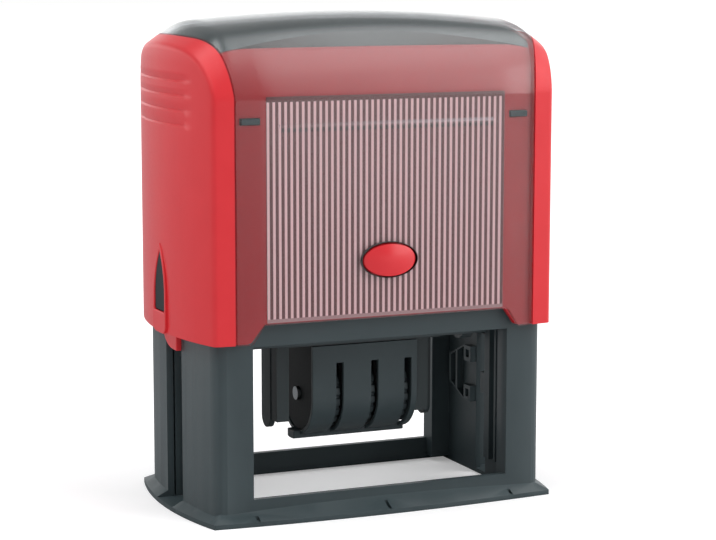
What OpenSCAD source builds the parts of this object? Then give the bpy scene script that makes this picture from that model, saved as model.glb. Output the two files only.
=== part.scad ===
// Self-inking desk date stamp with a push-down cap, a flipping die carriage
// and three setting wheels for the date bands.
// Millimetres, +Z up, +Y to the back, origin in the middle of the underside.

/* [Foot] */
// How far the foot reaches past the frame at each end
foot_end_reach = 3.4; // [2:0.1:5]
// How far the foot reaches past the frame at the front and the back
foot_side_reach = 5.9; // [4.7:0.1:7.2]
// How far each end of the foot bows out
foot_end_bow = 4.3; // [2:0.1:6]
// How far each long side of the foot bows out
foot_side_bow = 2.7; // [1:0.1:4]
// Thickness of the foot at its outer edge
foot_edge = 1.4; // [1:0.1:2]
// Height at which the sloped skirt meets the walls
foot_h = 4.2; // [3.6:0.1:5]
// Inward run of the skirt between its edge and the walls
skirt_run = 5.9; // [5:0.1:7]
// Length of the alignment marks on the skirt
mark_l = 3; // [2:0.2:4]
// Width of the alignment marks
mark_w = 0.9; // [0.6:0.1:1.4]

/* [Base frame] */
// Depth of the frame over its front and back walls
frame_d = 56.6; // [52:0.2:62]
// How far each end of the frame bows out
frame_bow = 2.8; // [2.4:0.1:3.2]
// Radius of the frame's upright corners
frame_corner = 4; // [3:0.2:5]
// Thickness of the frame's outer walls
frame_wall = 2; // [1.8:0.1:2.2]
// How far the frame's walls stand above the deck
frame_rise = 6.05; // [5.5:0.05:7]
// Room between the text die and each jamb of the windows
window_gap = 2.5; // [2:0.1:3]
// Height of the window sill
window_sill = 6.8; // [6:0.1:8]
// Height of the window head above the underside of the holder plate
head_rise = 2.4; // [1.8:0.1:2.8]
// Width of each window jamb
jamb_w = 6; // [5.6:0.1:6.2]
// Depth of the lip that frames each window jamb
jamb_d = 4; // [3:0.2:6]
// Width of the channels that the yoke's legs run in
channel_w = 4.3; // [4.1:0.1:4.8]
// Thickness of the inner end walls
inner_wall = 1.6; // [1.4:0.1:1.7]
// Width of the upright slot in each end
end_slot_w = 13.4; // [13.2:0.1:14]
// Thickness of the deck that carries the spring
deck_t = 2; // [1.6:0.1:2.6]
// Thickness of the cam ribs on the inner end walls
rib_t = 1.2; // [0.8:0.1:1.6]
// How far the cam ribs stand off the inner end walls
rib_h = 2; // [1.4:0.1:2.4]

/* [Cap] */
// Gap between the ends of the cap and of the frame
end_gap = 0.8; // [0.6:0.1:1]
// Gap between the cap's panels and the frame's walls
side_gap = 1.3; // [1:0.1:1.6]
// Height of the middle of the crown
cap_top = 143.5; // [138:0.5:155]
// How far each end of the cap bows out
cap_bow = 4.2; // [3.6:0.1:4.6]
// Thickness of the cap's end walls
cap_wall = 2.2; // [1.8:0.1:2.4]
// Thickness of the panels under the cover
panel_t = 1.5; // [1.2:0.1:1.6]
// How far the flat roof is under the middle of the crown
roof_drop = 9.9; // [9:0.1:10.6]
// Thickness of the roof
roof_t = 2; // [1.6:0.1:2.6]
// Radius of the crown across the depth
crown_r = 80.8; // [76:0.2:88]
// Radius of the crown along the length
crown_run_r = 466; // [420:2:520]
// Length of the bevel at each end of the cap
bevel_l = 9.1; // [8.6:0.1:9.8]
// Slope of the end bevels
bevel_angle = 29.4; // [28:0.2:31]
// How far the shoulders' lower edge is under the middle of the crown
shoulder_drop = 21.5; // [20.2:0.1:22.6]
// Depth of the crown between the shoulders
plateau_d = 30; // [26:0.5:34]
// Radius of the shoulders
shoulder_r = 28; // [26:0.5:32]
// Distance from a window jamb to the raised lower edge's slope
arch_inset = 2; // [1.6:0.1:2.2]
// Run of the slope at each end of the raised lower edge
arch_run = 7; // [6.6:0.1:7.4]
// How far the lower edge is raised
arch_rise = 6; // [5:0.1:6.6]
// Gap between the raised lower edge and the pad cartridge
arch_gap = 0.4; // [0.4:0.1:1]

/* [Cap ends] */
// Half width of the pointed slot in each end
ogive_half = 4.4; // [4:0.1:4.6]
// Height of the pointed slot's foot above the cap's lower edge
ogive_rise = 6; // [5.6:0.1:7]
// Height of the straight part of the pointed slot
ogive_straight = 4; // [3:0.5:6]
// Height of the pointed part
ogive_point = 13.5; // [12:0.5:15]
// Half width of the raised boss round the slot
boss_half = 5.4; // [5.2:0.1:5.8]
// How far the boss stands out of the end
boss_out = 1.3; // [0.8:0.1:1.6]
// How far the boss reaches below the cap's lower edge
boss_drop = 0.3; // [0.1:0.1:1.4]
// Half width of the guide lug inside each end
lug_half = 6.2; // [5.6:0.1:6.3]
// How far the guide lug reaches below the cap's lower edge
lug_drop = 5; // [4:0.1:5.6]
// Height of the top grip groove above the shoulders' lower edge
groove_rise = 3.8; // [2.6:0.2:4.4]
// Distance between grip grooves
groove_pitch = 4.1; // [3.6:0.1:4.6]
// Number of grip grooves on each end
groove_count = 4; // [3:1:5]
// Length of a grip groove
groove_l = 40; // [34:1:44]
// Width of a grip groove
groove_w = 0.8; // [0.6:0.1:1]
// Depth of a grip groove
groove_d = 0.5; // [0.3:0.1:0.7]

/* [Cover and cards] */
// Length of the cap's end past the see-through cover, along the crown
cover_inset = 3.5; // [3.3:0.1:3.9]
// How far the cover's ends bow out
cover_bow = 7.3; // [7:0.1:7.6]
// Thickness of the see-through cover
cover_t = 1.6; // [1.4:0.1:1.7]
// Distance from a card's edge to the slope of the lower edge
card_inset = 1.2; // [0.6:0.1:2]
// Height of the cards' lower edge above the raised lower edge
card_low = 1.3; // [1:0.1:4]
// Distance from the cards' upper edge to the shoulders
card_high = 1.3; // [0.8:0.1:4]
// Thickness of a card
card_t = 0.3; // [0.2:0.05:0.35]
// Distance from the middle of the cover's snap hooks to the shoulders
hook_drop = 7.3; // [6:0.1:10]
// Height of a snap hook
hook_h = 1.7; // [1.4:0.1:2.2]
// Length of a snap hook
hook_l = 5.5; // [4.5:0.1:5.8]
// Distance from a hook's outer end to the end of the cover
hook_inset = 1.3; // [1:0.1:1.6]
// Distance from the thumbnail groove in the cover to the shoulders
nail_drop = 9.4; // [9:0.1:12]
// Distance from the groove's ends to the card's edges
nail_inset = 3.3; // [2:0.1:6]
// Width of the thumbnail groove
nail_w = 1.2; // [0.8:0.1:1.6]
// Depth of the thumbnail groove
nail_d = 0.6; // [0.4:0.05:0.8]

/* [Lock buttons] */
// Length of a lock button
button_w = 16.3; // [14:0.1:18]
// Height of a lock button
button_h = 9.2; // [8:0.1:10]
// Height of the middle of the buttons above the frame's walls
button_rise = 7.8; // [7.4:0.1:10]
// How far a button stands out of the cover
button_out = 1.3; // [1:0.1:1.6]
// Radius of a button's domed face
button_dome_r = 40; // [34:1:60]
// Width of the flange that holds a button behind the cover
button_flange = 1.2; // [1:0.1:1.5]
// Thickness of that flange
button_flange_t = 1; // [0.8:0.1:1.2]
// Diameter of a button's locking stem
stem_d = 4; // [3:0.2:5]
// Travel of a button
button_travel = 1.6; // [1.2:0.1:1.8]

/* [Lift yoke and spring] */
// Thickness of the yoke's legs
leg_t = 2.4; // [2:0.1:2.5]
// Width of the yoke's legs
leg_w = 12; // [11:0.1:12.4]
// Thickness of the yoke's bridge
bridge_t = 3.6; // [3:0.1:4.2]
// Width of the yoke's bridge
bridge_w = 30; // [28:0.5:34]
// Diameter of the return spring's wire
spring_wire = 1.6; // [1.2:0.1:1.8]
// Mean radius of the return spring
spring_r = 11; // [9.5:0.1:12]
// Turns of the return spring
spring_turns = 8; // [6:1:9]

/* [Die carriage] */
// Height of the carriage's pivot at rest
pivot_z = 47.8; // [46:0.1:53]
// Height of the print face above the pivot
print_h = 6; // [5.9:0.1:6.1]
// Diameter of the pivot pins
pivot_d = 6; // [5:0.1:6.2]
// Depth of the holder plate
holder_d = 38; // [36:0.2:39]
// Thickness of the holder plate
holder_t = 2.2; // [2:0.1:2.4]
// Thickness of the foam cushion
cushion_t = 1.2; // [1:0.1:1.3]
// Length of the text die
die_w = 75; // [68:0.5:84]
// Depth of the text die
die_d = 34.4; // [33:0.2:34.4]
// Thickness of the text die's base
die_base_t = 1; // [0.8:0.1:1.1]
// Height of the raised print lines
relief_h = 1.2; // [1.1:0.1:1.4]
// Depth of the print area
print_d = 25; // [23:0.2:25.4]
// Thickness of the pivot arms
arm_t = 3.5; // [3:0.1:3.8]

/* [Dater] */
// Distance from the pivot down to the setting wheels' axle
axle_drop = 17.3; // [17:0.1:17.5]
// Diameter of the axle
axle_d = 4; // [3.4:0.1:4.4]
// Outer radius of the guard
guard_r = 12.3; // [12.1:0.1:12.5]
// Thickness of the guard
guard_t = 1.2; // [1:0.1:1.3]
// Height of the upper ends of the guard's slots above the axle
slot_rise = 10.5; // [9.5:0.2:11.1]
// Width of the guard's slots
slot_w = 2.2; // [2:0.1:2.4]
// Depth of the guard's bottom bar
guard_bar_d = 5; // [4:0.2:6]
// Radius of the guard's bottom bar
guard_bar_r = 13.5; // [13:0.1:13.8]
// Radius of the drums that carry the bands
drum_r = 6.5; // [6:0.1:7]
// Width of a wheel's finger rim
rim_w = 1.5; // [1.3:0.1:1.6]
// Finger notches in a wheel's rim
rim_notches = 20; // [16:1:24]
// Thickness of the date bands
band_t = 1.2; // [1:0.1:1.3]
// Radius of the platen under the bands
platen_r = 2.2; // [1.9:0.1:2.4]
// Width of the day band
day_band_w = 5.8; // [5.4:0.1:5.8]
// Width of the month band
month_band_w = 8; // [7.6:0.1:8.2]
// Width of the year band
year_band_w = 7.6; // [7.2:0.1:7.8]
// Thickness of the dater's side plates
side_plate_t = 1.2; // [1:0.1:1.3]
// Outer half length of the dater's end cheeks
cheek_half = 26; // [25.6:0.1:26.4]
// Thickness of an end cheek
cheek_t = 1.6; // [1.4:0.1:2]

/* [Ink pad] */
// Width of the cartridge's side flanges
tray_flange = 3; // [2.6:0.1:3.1]
// Thickness of the side flanges
tray_flange_t = 1.1; // [0.9:0.1:1.2]
// Thickness of the cartridge's top and walls
tray_wall = 0.8; // [0.7:0.1:0.9]
// Height of the cartridge
tray_h = 3.6; // [3.5:0.1:3.7]
// Thickness of the pad
pad_t = 2.7; // [2.4:0.05:2.7]

/* [Clearances] */
// Gap between pieces that are set in one another
fit_gap = 0.2; // [0.15:0.05:0.25]
// Gap between pieces that slide or turn past one another
run_gap = 0.35; // [0.3:0.05:0.4]
// Radial gap of a pin that turns in its hole
pin_gap = 0.05; // [0.03:0.01:0.08]

/* [Hidden] */
$fn = 96;
big_fn = 720;
oval_steps = 48;
ogive_steps = 10;
eps = 0.05;
over = 1;

frame_colour = "#41494c";
cap_colour = "#c93a40";
clear_colour = "#8b8f9280";
rubber_colour = "#2e2f31";
steel_colour = "#9a9ea2";

// Carriage heights, all worked up from the pivot
print_z = pivot_z + print_h;
die_base_z = print_z - relief_h - die_base_t;
cushion_z = die_base_z - cushion_t;
holder_z = cushion_z - holder_t;
holder_w = die_w + 2 * fit_gap;

// Pad cartridge, just above the print face, and the deck over it
tray_w = die_w;
tray_z = print_z + fit_gap;
tray_top = tray_z + tray_h;
tray_out_half = tray_w / 2 + tray_flange;
deck_z = tray_top + run_gap;
deck_top = deck_z + deck_t;
ledge_h = 1.4;

// Frame, from the text die outwards
window_w = die_w + 2 * window_gap;
window_head = holder_z + head_rise;
bay_w = window_w + 2 * jamb_w;
bay_half = bay_w / 2;
bay_half_d = frame_d / 2 - frame_wall;
tray_half_d = bay_half_d - run_gap;
channel_x = bay_half + inner_wall;
channel_back = 2;
channel_half_d = bay_half_d - channel_back;
channel_floor = 1.2;
end_inner = channel_x + channel_w;
frame_w = 2 * (end_inner + frame_wall);
frame_top = deck_top + frame_rise;
foot_w = frame_w + 2 * foot_end_reach;
foot_d = frame_d + 2 * foot_side_reach;
guide_rib_t = 1.6;

// Cap, round the frame
panel_inset = cover_t + card_t;
panel_in = panel_inset + panel_t;
cap_w = frame_w + 2 * (end_gap + cap_wall);
cap_d = frame_d + 2 * (side_gap + panel_in);
roof_z = cap_top - roof_drop;
shoulder_z = cap_top - shoulder_drop;
arch_z = tray_top + arch_gap;
cap_bottom = arch_z - arch_rise;
arch_top_half = window_w / 2 - arch_inset;
arch_foot_half = arch_top_half + arch_run;
crown_z = cap_top - crown_r;
bevel_start = cap_w / 2 - bevel_l;
bevel_slope = tan(bevel_angle);
bevel_spare = 2.9;
bevel_reach = bevel_l + bevel_spare;
end_r = (cap_d * cap_d / 4 + cap_bow * cap_bow) / (2 * cap_bow);

// Cover, cards and buttons, on the cap
cover_half = cap_w / 2 - cover_inset;
cover_back = cap_d / 2 - cover_t;
cover_side = cover_half - cover_bow;
split_r = (cap_d * cap_d / 4 + cover_bow * cover_bow) / (2 * cover_bow);
card_w = 2 * (arch_top_half - card_inset);
card_z = arch_z + card_low;
card_top = shoulder_z - card_high;
hook_z = shoulder_z - hook_drop;
nail_z = shoulder_z - nail_drop;
nail_l = card_w - 2 * nail_inset;
button_z = frame_top + button_rise;

// Cap ends
ogive_z = cap_bottom + ogive_rise;
boss_z = cap_bottom - boss_drop;
lug_z = cap_bottom - lug_drop;
groove_top = shoulder_z + groove_rise;
slot_cut = 0.4;
boss_cut = 1.6;
boss_rise = 2.4;
top_groove = 0.8;
lug_slope = 4;
lug_root = 0.4;

// Yoke legs run in the channels of the frame
leg_x = channel_x + run_gap + fit_gap;
leg_out = leg_x + leg_t;
cavity_top = roof_z - roof_t;
bridge_z = cavity_top - bridge_t;
pin_end = leg_out - fit_gap;
leg_end_r = leg_w / 2;
leg_end = 1.2;
catch_sink = 0.5;
arm_r = 4.4;
spigot_h = 4;

// Cam bracket and rails on the inner end walls
cam_drop = 16.8;
cam_z = pivot_z - cam_drop;
cam_half = 4.2;
cam_rise = 4.4;
cam_lean = 9;
loop_w = 4.6;
loop_h = 4.8;
rail_y = 6;
rail_w = 3.4;
rib_gap = 3;

// Finger recess in the cartridge's back panel
recess_r = 9;
recess_d = 1;

// Dater, placed along the length
axle_z = pivot_z - axle_drop;
slot_top = axle_z + slot_rise;
slot_day = -6.6;
slot_month = 4.6;
slot_year = 15.4;
guard_left = -15.3;
guard_right = 18.4;
bar_left = -17.4;
guard_in = guard_r - guard_t;
rim_r = guard_in - run_gap;
band_r = drum_r + run_gap + band_t;
platen_z = print_z - band_t - platen_r;
side_left = guard_left + run_gap;
side_right = guard_right - run_gap - side_plate_t;
plate_r = guard_in - run_gap;
dater_top_t = 1.6;
cheek_drop = 9;
cheek_z = axle_z - cheek_drop;
cheek_d = 7;
cheek_y = -2;
view_drop = 6.1;
view_z = axle_z - view_drop;
view_front = 10.4;
view_back = -6;
left_x = -25.8;
left_w = 3.8;
right_w = 4.4;
axle_out = 0.9;
notch_r = 0.7;
dater_z = holder_z - dater_top_t;
guard_top = dater_z - fit_gap;
window_half_w = side_right + side_plate_t + fit_gap;
window_half_d = 5.4;

// Distance from the axis of a circle of radius r to its rim, at offset y
function rim_height(r, y) = sqrt(r * r - y * y);

// Centre of an arc of radius r from p down to q, bulging away from the origin
function arc_centre(p, q, r) =
    let (
        mid = (p + q) / 2,
        run = q - p,
        gap = norm(run),
        rise = sqrt(r * r - gap * gap / 4)
    )
    mid + rise / gap * [run[1], -run[0]];

shoulder_foot = [cap_d / 2, shoulder_z];
shoulder_head = [plateau_d / 2, crown_z + rim_height(crown_r, plateau_d / 2)];
shoulder_c = arc_centre(shoulder_head, shoulder_foot, shoulder_r);

// Draws its children once at each end, the second one turned half a turn
module both_ends() {
    children();
    rotate(180) children();
}

// Draws its children at the right and, mirrored, at the left
module left_and_right() {
    children();
    mirror([1, 0, 0]) children();
}

// Draws its children at the front and, mirrored, at the back
module front_and_back() {
    children();
    mirror([0, 1, 0]) children();
}

// Draws a YZ outline along X, from x0 to x1
module along_x(x0, x1) {
    translate([x0, 0, 0]) rotate([90, 0, 90]) linear_extrude(x1 - x0) children();
}

// Draws an XZ outline along Y, from y0 to y1
module along_y(y0, y1) {
    translate([0, y1, 0]) rotate([90, 0, 0]) linear_extrude(y1 - y0) children();
}

// A block given by its low and high corners
module block(low, high) {
    translate(low) cube(high - low);
}

// Plan with straight long sides, bowed ends and corners tangent to both
module bowed_plan(half_w, half_d, bow, corner) {
    end_r = (half_d * half_d + bow * bow) / (2 * bow);
    end_c = half_w - end_r;
    corner_y = half_d - corner;
    corner_x = end_c + sqrt(pow(end_r - corner, 2) - corner_y * corner_y);
    tangent_y = corner_y * end_r / (end_r - corner);
    square([2 * corner_x, 2 * half_d], center = true);
    for (sx = [-1, 1], sy = [-1, 1])
        translate([sx * corner_x, sy * corner_y]) circle(corner);
    intersection() {
        translate([end_c, 0]) rotate(180) circle(end_r, $fn = big_fn);
        translate([-end_c, 0]) circle(end_r, $fn = big_fn);
        square([4 * half_w, 2 * tangent_y], center = true);
    }
}

// Oval w long and h high
module oval(w, h) {
    polygon([
        for (i = [0:oval_steps - 1])
            let (a = 360 * i / oval_steps)
                [w / 2 * cos(a), h / 2 * sin(a)]
    ]);
}

// Loop outline round a big circle at z0 and a small one at z1
module loop_outline(r0, z0, r1, z1) {
    lean = asin((r0 - r1) / (z1 - z0));
    low = [r0 * cos(lean), z0 + r0 * sin(lean)];
    high = [r1 * cos(lean), z1 + r1 * sin(lean)];
    translate([0, z0]) circle(r0);
    translate([0, z1]) circle(r1);
    polygon([low, high, [-high[0], high[1]], [-low[0], low[1]]]);
}

// One tall cone that slopes the skirt along a bowed side
module skirt_cone(half, span, bow) {
    r = (span * span + bow * bow) / (2 * bow);
    rise = foot_h - foot_edge;
    translate([half - r, 0, foot_edge])
        cylinder(h = rise, r1 = r, r2 = r - skirt_run, $fn = big_fn);
    translate([half - r, 0, 0]) cylinder(h = foot_edge, r = r, $fn = big_fn);
}

module foot() {
    corner_y = foot_d / 2 - foot_side_bow;
    corner_x = foot_w / 2 - foot_end_bow;
    intersection() {
        skirt_cone(foot_w / 2, corner_y, foot_end_bow);
        rotate(180) skirt_cone(foot_w / 2, corner_y, foot_end_bow);
        rotate(90) skirt_cone(foot_d / 2, corner_x, foot_side_bow);
        rotate(-90) skirt_cone(foot_d / 2, corner_x, foot_side_bow);
    }
}

module frame_plan(inset) {
    bowed_plan(frame_w / 2 - inset, frame_d / 2 - inset, frame_bow, frame_corner - inset);
}

// Short marks in the skirt that help to place the stamp
module skirt_marks() {
    reach = mark_l + over;
    for (x = [-window_w / 2, 0, window_w / 2])
        front_and_back()
            block([x - mark_w / 2, -foot_d / 2 - over, foot_edge],
                  [x + mark_w / 2, -foot_d / 2 - over + reach + over, foot_h]);
    both_ends()
        block([foot_w / 2 - mark_l, -mark_w / 2, foot_edge],
              [foot_w / 2 + over, mark_w / 2, foot_h]);
}

// Cam bracket, guide rail and stop on one inner end wall, drawn at +X
module cam_ribs() {
    low = bay_half - rib_h;
    loop_y = pivot_d / 2 + 2 * fit_gap;
    loop_end = loop_y + loop_w;
    back_y = loop_end + cam_lean;
    tie_y = (loop_end + back_y) / 2;
    loop_mid = cam_half + cam_rise - loop_h / 2;
    translate([0, 0, cam_z]) along_x(low, bay_half + eps) {
        // upright back of the bracket and the tie in front of it
        translate([back_y, -cam_half]) square([rib_t, 2 * cam_half]);
        translate([tie_y, -cam_half - cam_rise / 2]) square([rib_t, 2 * cam_half + cam_rise]);
        for (s = [-1, 1]) {
            // slope from the back to the loop
            polygon([
                [back_y, s * cam_half],
                [back_y + rib_t, s * cam_half],
                [loop_end, s * (cam_half + cam_rise)],
                [loop_end - rib_t, s * (cam_half + cam_rise)]
            ]);
            // closed loop beside the pin's slot
            translate([loop_y + loop_w / 2, s * loop_mid]) difference() {
                square([loop_w, loop_h], center = true);
                square([loop_w - 2 * rib_t, loop_h - 2 * rib_t], center = true);
            }
        }
        // stop block on the other side of the slot
        translate([-rail_y - eps, -cam_half]) square([rail_y + eps - loop_y, 1.5 * cam_half]);
    }
    along_x(low, bay_half + eps) {
        // guide rail, and a thin rib in front of it
        translate([-rail_y - rail_w, window_sill])
            square([rail_w, window_head - window_sill]);
        translate([-rail_y - rail_w - rib_gap - rib_t, window_sill])
            square([rib_t, window_head - window_sill]);
    }
}

module base_frame() color(frame_colour) difference() {
    union() {
        difference() {
            union() {
                foot();
                linear_extrude(frame_top) frame_plan(0);
            }
            block([-bay_half, -bay_half_d, -over], [bay_half, bay_half_d, frame_top + over]);
            // windows at the front and the back
            block([-window_w / 2, -frame_d, window_sill], [window_w / 2, frame_d, window_head]);
            // hollow ends, open at the top
            both_ends() intersection() {
                translate([0, 0, channel_floor]) linear_extrude(frame_top) frame_plan(frame_wall);
                block([channel_x, -channel_half_d, 0], [frame_w, channel_half_d, frame_top + over]);
            }
        }
        left_and_right() front_and_back() {
            // jamb
            block([window_w / 2, -bay_half_d - eps, channel_floor],
                  [bay_half + eps, jamb_d - bay_half_d, window_head + eps]);
            // rib that guides a yoke leg
            block([channel_x - eps, -end_slot_w / 2 - guide_rib_t, channel_floor - eps],
                  [end_inner - frame_bow / 4, -end_slot_w / 2, frame_top]);
        }
        // deck with a spigot that centres the spring
        block([-bay_half - eps, -bay_half_d - eps, deck_z], [bay_half + eps, bay_half_d + eps, deck_top]);
        translate([0, 0, deck_top - eps])
            cylinder(h = spigot_h, r = spring_bore - run_gap);
        // ledges that carry the pad cartridge
        left_and_right() {
            block([tray_out_half + fit_gap, -bay_half_d - eps, tray_z - ledge_h],
                  [bay_half + eps, bay_half_d + eps, deck_z + eps]);
            block([tray_w / 2 + 2 * fit_gap + run_gap, -bay_half_d - eps, tray_z - ledge_h],
                  [tray_out_half + over, bay_half_d + eps, tray_z]);
            cam_ribs();
        }
    }
    // way in for the pad cartridge, at the back
    block([-tray_out_half - fit_gap, bay_half_d - over, window_head - eps],
          [tray_out_half + fit_gap, frame_d, deck_z]);
    // upright slots for the pivot pins and for the yoke's legs
    both_ends() {
        block([bay_half - rib_h - over, -pivot_d / 2 - fit_gap, channel_floor],
              [channel_x + over, pivot_d / 2 + fit_gap, pivot_z + pivot_d / 2 + fit_gap]);
        block([end_inner - over, -end_slot_w / 2, channel_floor],
              [frame_w, end_slot_w / 2, frame_top + over]);
    }
    // notches that the lock buttons' stems drop into
    front_and_back()
        block([-stem_d / 2 - fit_gap, -frame_d, deck_top + fit_gap],
              [stem_d / 2 + fit_gap, -frame_d / 2 + button_travel, frame_top - over]);
    skirt_marks();
}

// Cartridge that slides out at the back with the ink pad in it
module pad_tray() color(frame_colour) {
    difference() {
        union() {
            block([-tray_w / 2, -tray_half_d, tray_z], [tray_w / 2, bay_half_d + eps, tray_top]);
            block([-tray_out_half, -tray_half_d, tray_z],
                  [tray_out_half, bay_half_d + eps, tray_z + tray_flange_t]);
        }
        block([-tray_w / 2 + tray_wall, -tray_half_d + tray_wall, tray_z - over],
              [tray_w / 2 - tray_wall, bay_half_d - tray_wall, tray_top - tray_wall]);
    }
    // back panel with a finger recess
    difference() {
        block([-tray_out_half, bay_half_d, window_head + fit_gap],
              [tray_out_half, frame_d / 2, tray_z + tray_flange_t]);
        translate([0, frame_d / 2 + recess_r - recess_d, window_head + fit_gap - over])
            cylinder(h = tray_h + 2 * over, r = recess_r);
    }
    block([-tray_w / 2, bay_half_d, tray_z], [tray_w / 2, frame_d / 2, tray_top]);
}

module ink_pad() color("#3b2a55") {
    edge = tray_wall + fit_gap;
    pad_top = tray_top - tray_wall;
    block([-tray_w / 2 + edge, -tray_half_d + edge, pad_top - pad_t],
          [tray_w / 2 - edge, bay_half_d - edge, pad_top]);
}

// Points of a helical wire, as rings of a tube that is one closed solid
spring_sides = 6;
spring_rings = 8;
spring_low = deck_top + spring_wire / 2 + fit_gap;
spring_high = bridge_z - spring_wire / 2 - fit_gap;
spring_steps = spring_turns * spring_rings;
spring_pitch = (spring_high - spring_low) / spring_turns;
spring_bore = spring_r * cos(180 / spring_rings) - spring_wire / 2;

function spring_point(i, k) =
    let (
        turn = 360 * i / spring_rings,
        ring = 360 * k / spring_sides,
        r = spring_r + spring_wire / 2 * cos(ring)
    )
    [
        r * cos(turn),
        r * sin(turn),
        spring_low + spring_pitch * i / spring_rings + spring_wire / 2 * sin(ring)
    ];

function spring_quad(i, k) =
    let (
        next = (k + 1) % spring_sides,
        a = i * spring_sides + k,
        b = i * spring_sides + next,
        c = a + spring_sides,
        d = b + spring_sides
    )
    [[a, c, b], [b, c, d]];

echo(spring_least_gap = spring_pitch - spring_wire);

module return_spring() color(steel_colour) {
    points = [for (i = [0:spring_steps], k = [0:spring_sides - 1]) spring_point(i, k)];
    walls = [for (i = [0:spring_steps - 1], k = [0:spring_sides - 1]) each spring_quad(i, k)];
    last = spring_steps * spring_sides;
    ends = [
        for (k = [1:spring_sides - 2]) each [
            [0, k, k + 1],
            [last, last + k + 1, last + k]
        ]
    ];
    polyhedron(points, concat(walls, ends), convexity = 10);
}

// Lens between two bowed ends, half_w long at its middle
module lens(half_w, r) {
    intersection() {
        translate([half_w - r, 0]) rotate(180) circle(r, $fn = big_fn);
        translate([r - half_w, 0]) circle(r, $fn = big_fn);
    }
}

// Plan of the cap: bevelled corners and bowed ends
module cap_plan(end_inset, side_inset) {
    half_d = cap_d / 2 - side_inset;
    far_x = bevel_start + bevel_reach;
    far_y = half_d - bevel_reach * bevel_slope;
    intersection() {
        lens(cap_w / 2 - end_inset, end_r);
        polygon([
            [-far_x, -far_y], [-bevel_start, -half_d], [bevel_start, -half_d], [far_x, -far_y],
            [far_x, far_y], [bevel_start, half_d], [-bevel_start, half_d], [-far_x, far_y]
        ]);
    }
}

// Outline that is turned about X: its radius r falls off past the start of the bevels
module bevelled_half(r) {
    far_x = bevel_start + bevel_reach;
    far_r = r - bevel_reach * bevel_slope;
    polygon([
        [0, -far_x], [far_r, -far_x], [r, -bevel_start],
        [r, bevel_start], [far_r, far_x], [0, far_x]
    ]);
}

// Arch of the cap over its length, with bevelled shoulders
module arch_body(inset) {
    half = cap_d / 2 - inset;
    low = cap_bottom - 2 * over;
    block([-cap_w, -half, low], [cap_w, half, shoulder_z]);
    block([-cap_w, -plateau_d / 2, low], [cap_w, plateau_d / 2, cap_top + over]);
    front_and_back() intersection() {
        translate([0, -shoulder_c[0], shoulder_c[1]]) rotate([0, 90, 0])
            rotate_extrude($fn = big_fn) bevelled_half(shoulder_r - inset);
        block([-cap_w, -half, shoulder_z - eps], [cap_w, eps - plateau_d / 2, cap_top]);
    }
}

// Barrel that gives the crown and the bevels at its ends
module crown(inset) {
    start_r = crown_r - crown_run_r + rim_height(crown_run_r, bevel_start);
    translate([0, 0, crown_z]) rotate([0, 90, 0]) rotate_extrude($fn = 180) intersection() {
        translate([crown_r - crown_run_r, 0]) circle(crown_run_r - inset, $fn = 4 * big_fn);
        polygon([
            [0, -bevel_start - bevel_reach],
            [start_r - inset - bevel_slope * bevel_reach, -bevel_start - bevel_reach],
            [start_r - inset + bevel_slope * bevel_start, 0],
            [start_r - inset - bevel_slope * bevel_reach, bevel_start + bevel_reach],
            [0, bevel_start + bevel_reach]
        ]);
    }
}

// Outer form of the cap, set in at the ends, the sides and the top
module cap_form(end_inset, side_inset, top_inset, low) {
    intersection() {
        arch_body(side_inset);
        translate([0, 0, low]) linear_extrude(cap_top) cap_plan(end_inset, side_inset);
        crown(top_inset);
    }
}

// Upright body between the bowed ends of the cover, let out by the given gap
module cover_span(gap, top) {
    linear_extrude(top) lens(cover_half + gap, split_r);
}

// Raised middle of the cap's lower edge, at the front and the back
module lower_arch() {
    along_y(-cap_d, cap_d) polygon([
        [-arch_foot_half, cap_bottom - 3 * over],
        [-arch_foot_half, cap_bottom],
        [-arch_top_half, arch_z],
        [arch_top_half, arch_z],
        [arch_foot_half, cap_bottom],
        [arch_foot_half, cap_bottom - 3 * over]
    ]);
}

// Pointed outline in YZ: a flat foot with cut corners, straight sides that curve in to a point
module ogive(half, z0, straight, point, cut) {
    arc_r = (point * point + half * half) / (2 * half);
    sweep = asin(point / arc_r);
    right = [
        for (i = [0:ogive_steps])
            let (a = sweep * i / ogive_steps)
                [half - arc_r * (1 - cos(a)), z0 + straight + arc_r * sin(a)]
    ];
    left = [for (i = [ogive_steps - 1:-1:0]) [-right[i][0], right[i][1]]];
    foot = [[-half, z0 + cut], [cut - half, z0], [half - cut, z0], [half, z0 + cut]];
    polygon(concat(foot, right, left));
}

// Outline of the pointed slot, or of what fills it with a gap all round
module slot_outline(gap) {
    ogive(ogive_half - gap, ogive_z + gap, ogive_straight - gap, ogive_point - gap, slot_cut);
}

// Raised boss round the pointed slot, drawn at +X
module end_boss() {
    straight = ogive_z + ogive_straight - boss_z;
    along_x(cap_w / 2 - cap_wall / 2, cap_w / 2 + boss_out)
        ogive(boss_half, boss_z, straight, ogive_point + boss_rise, boss_cut);
}

// Lug that guides the cap in the frame's end slot, drawn at +X
module guide_lug() {
    along_x(leg_out + run_gap + fit_gap, cap_w / 2 - cap_wall + lug_root) polygon([
        [-lug_half, lug_z],
        [-lug_half / 2, lug_z],
        [lug_half, lug_z + lug_slope],
        [lug_half, ogive_z - fit_gap],
        [-lug_half, ogive_z - fit_gap]
    ]);
}

module grip_grooves() {
    for (i = [0:groove_count - 1]) intersection() {
        low = groove_top - i * groove_pitch - groove_w / 2;
        translate([0, 0, low]) linear_extrude(groove_w) difference() {
            square([2 * cap_w, groove_l * (i == 0 ? top_groove : 1)], center = true);
            lens(cap_w / 2 - groove_d, end_r);
        }
        both_ends() block([cover_half, -groove_l, 0], [cap_w, groove_l, cap_top]);
    }
}

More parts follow.
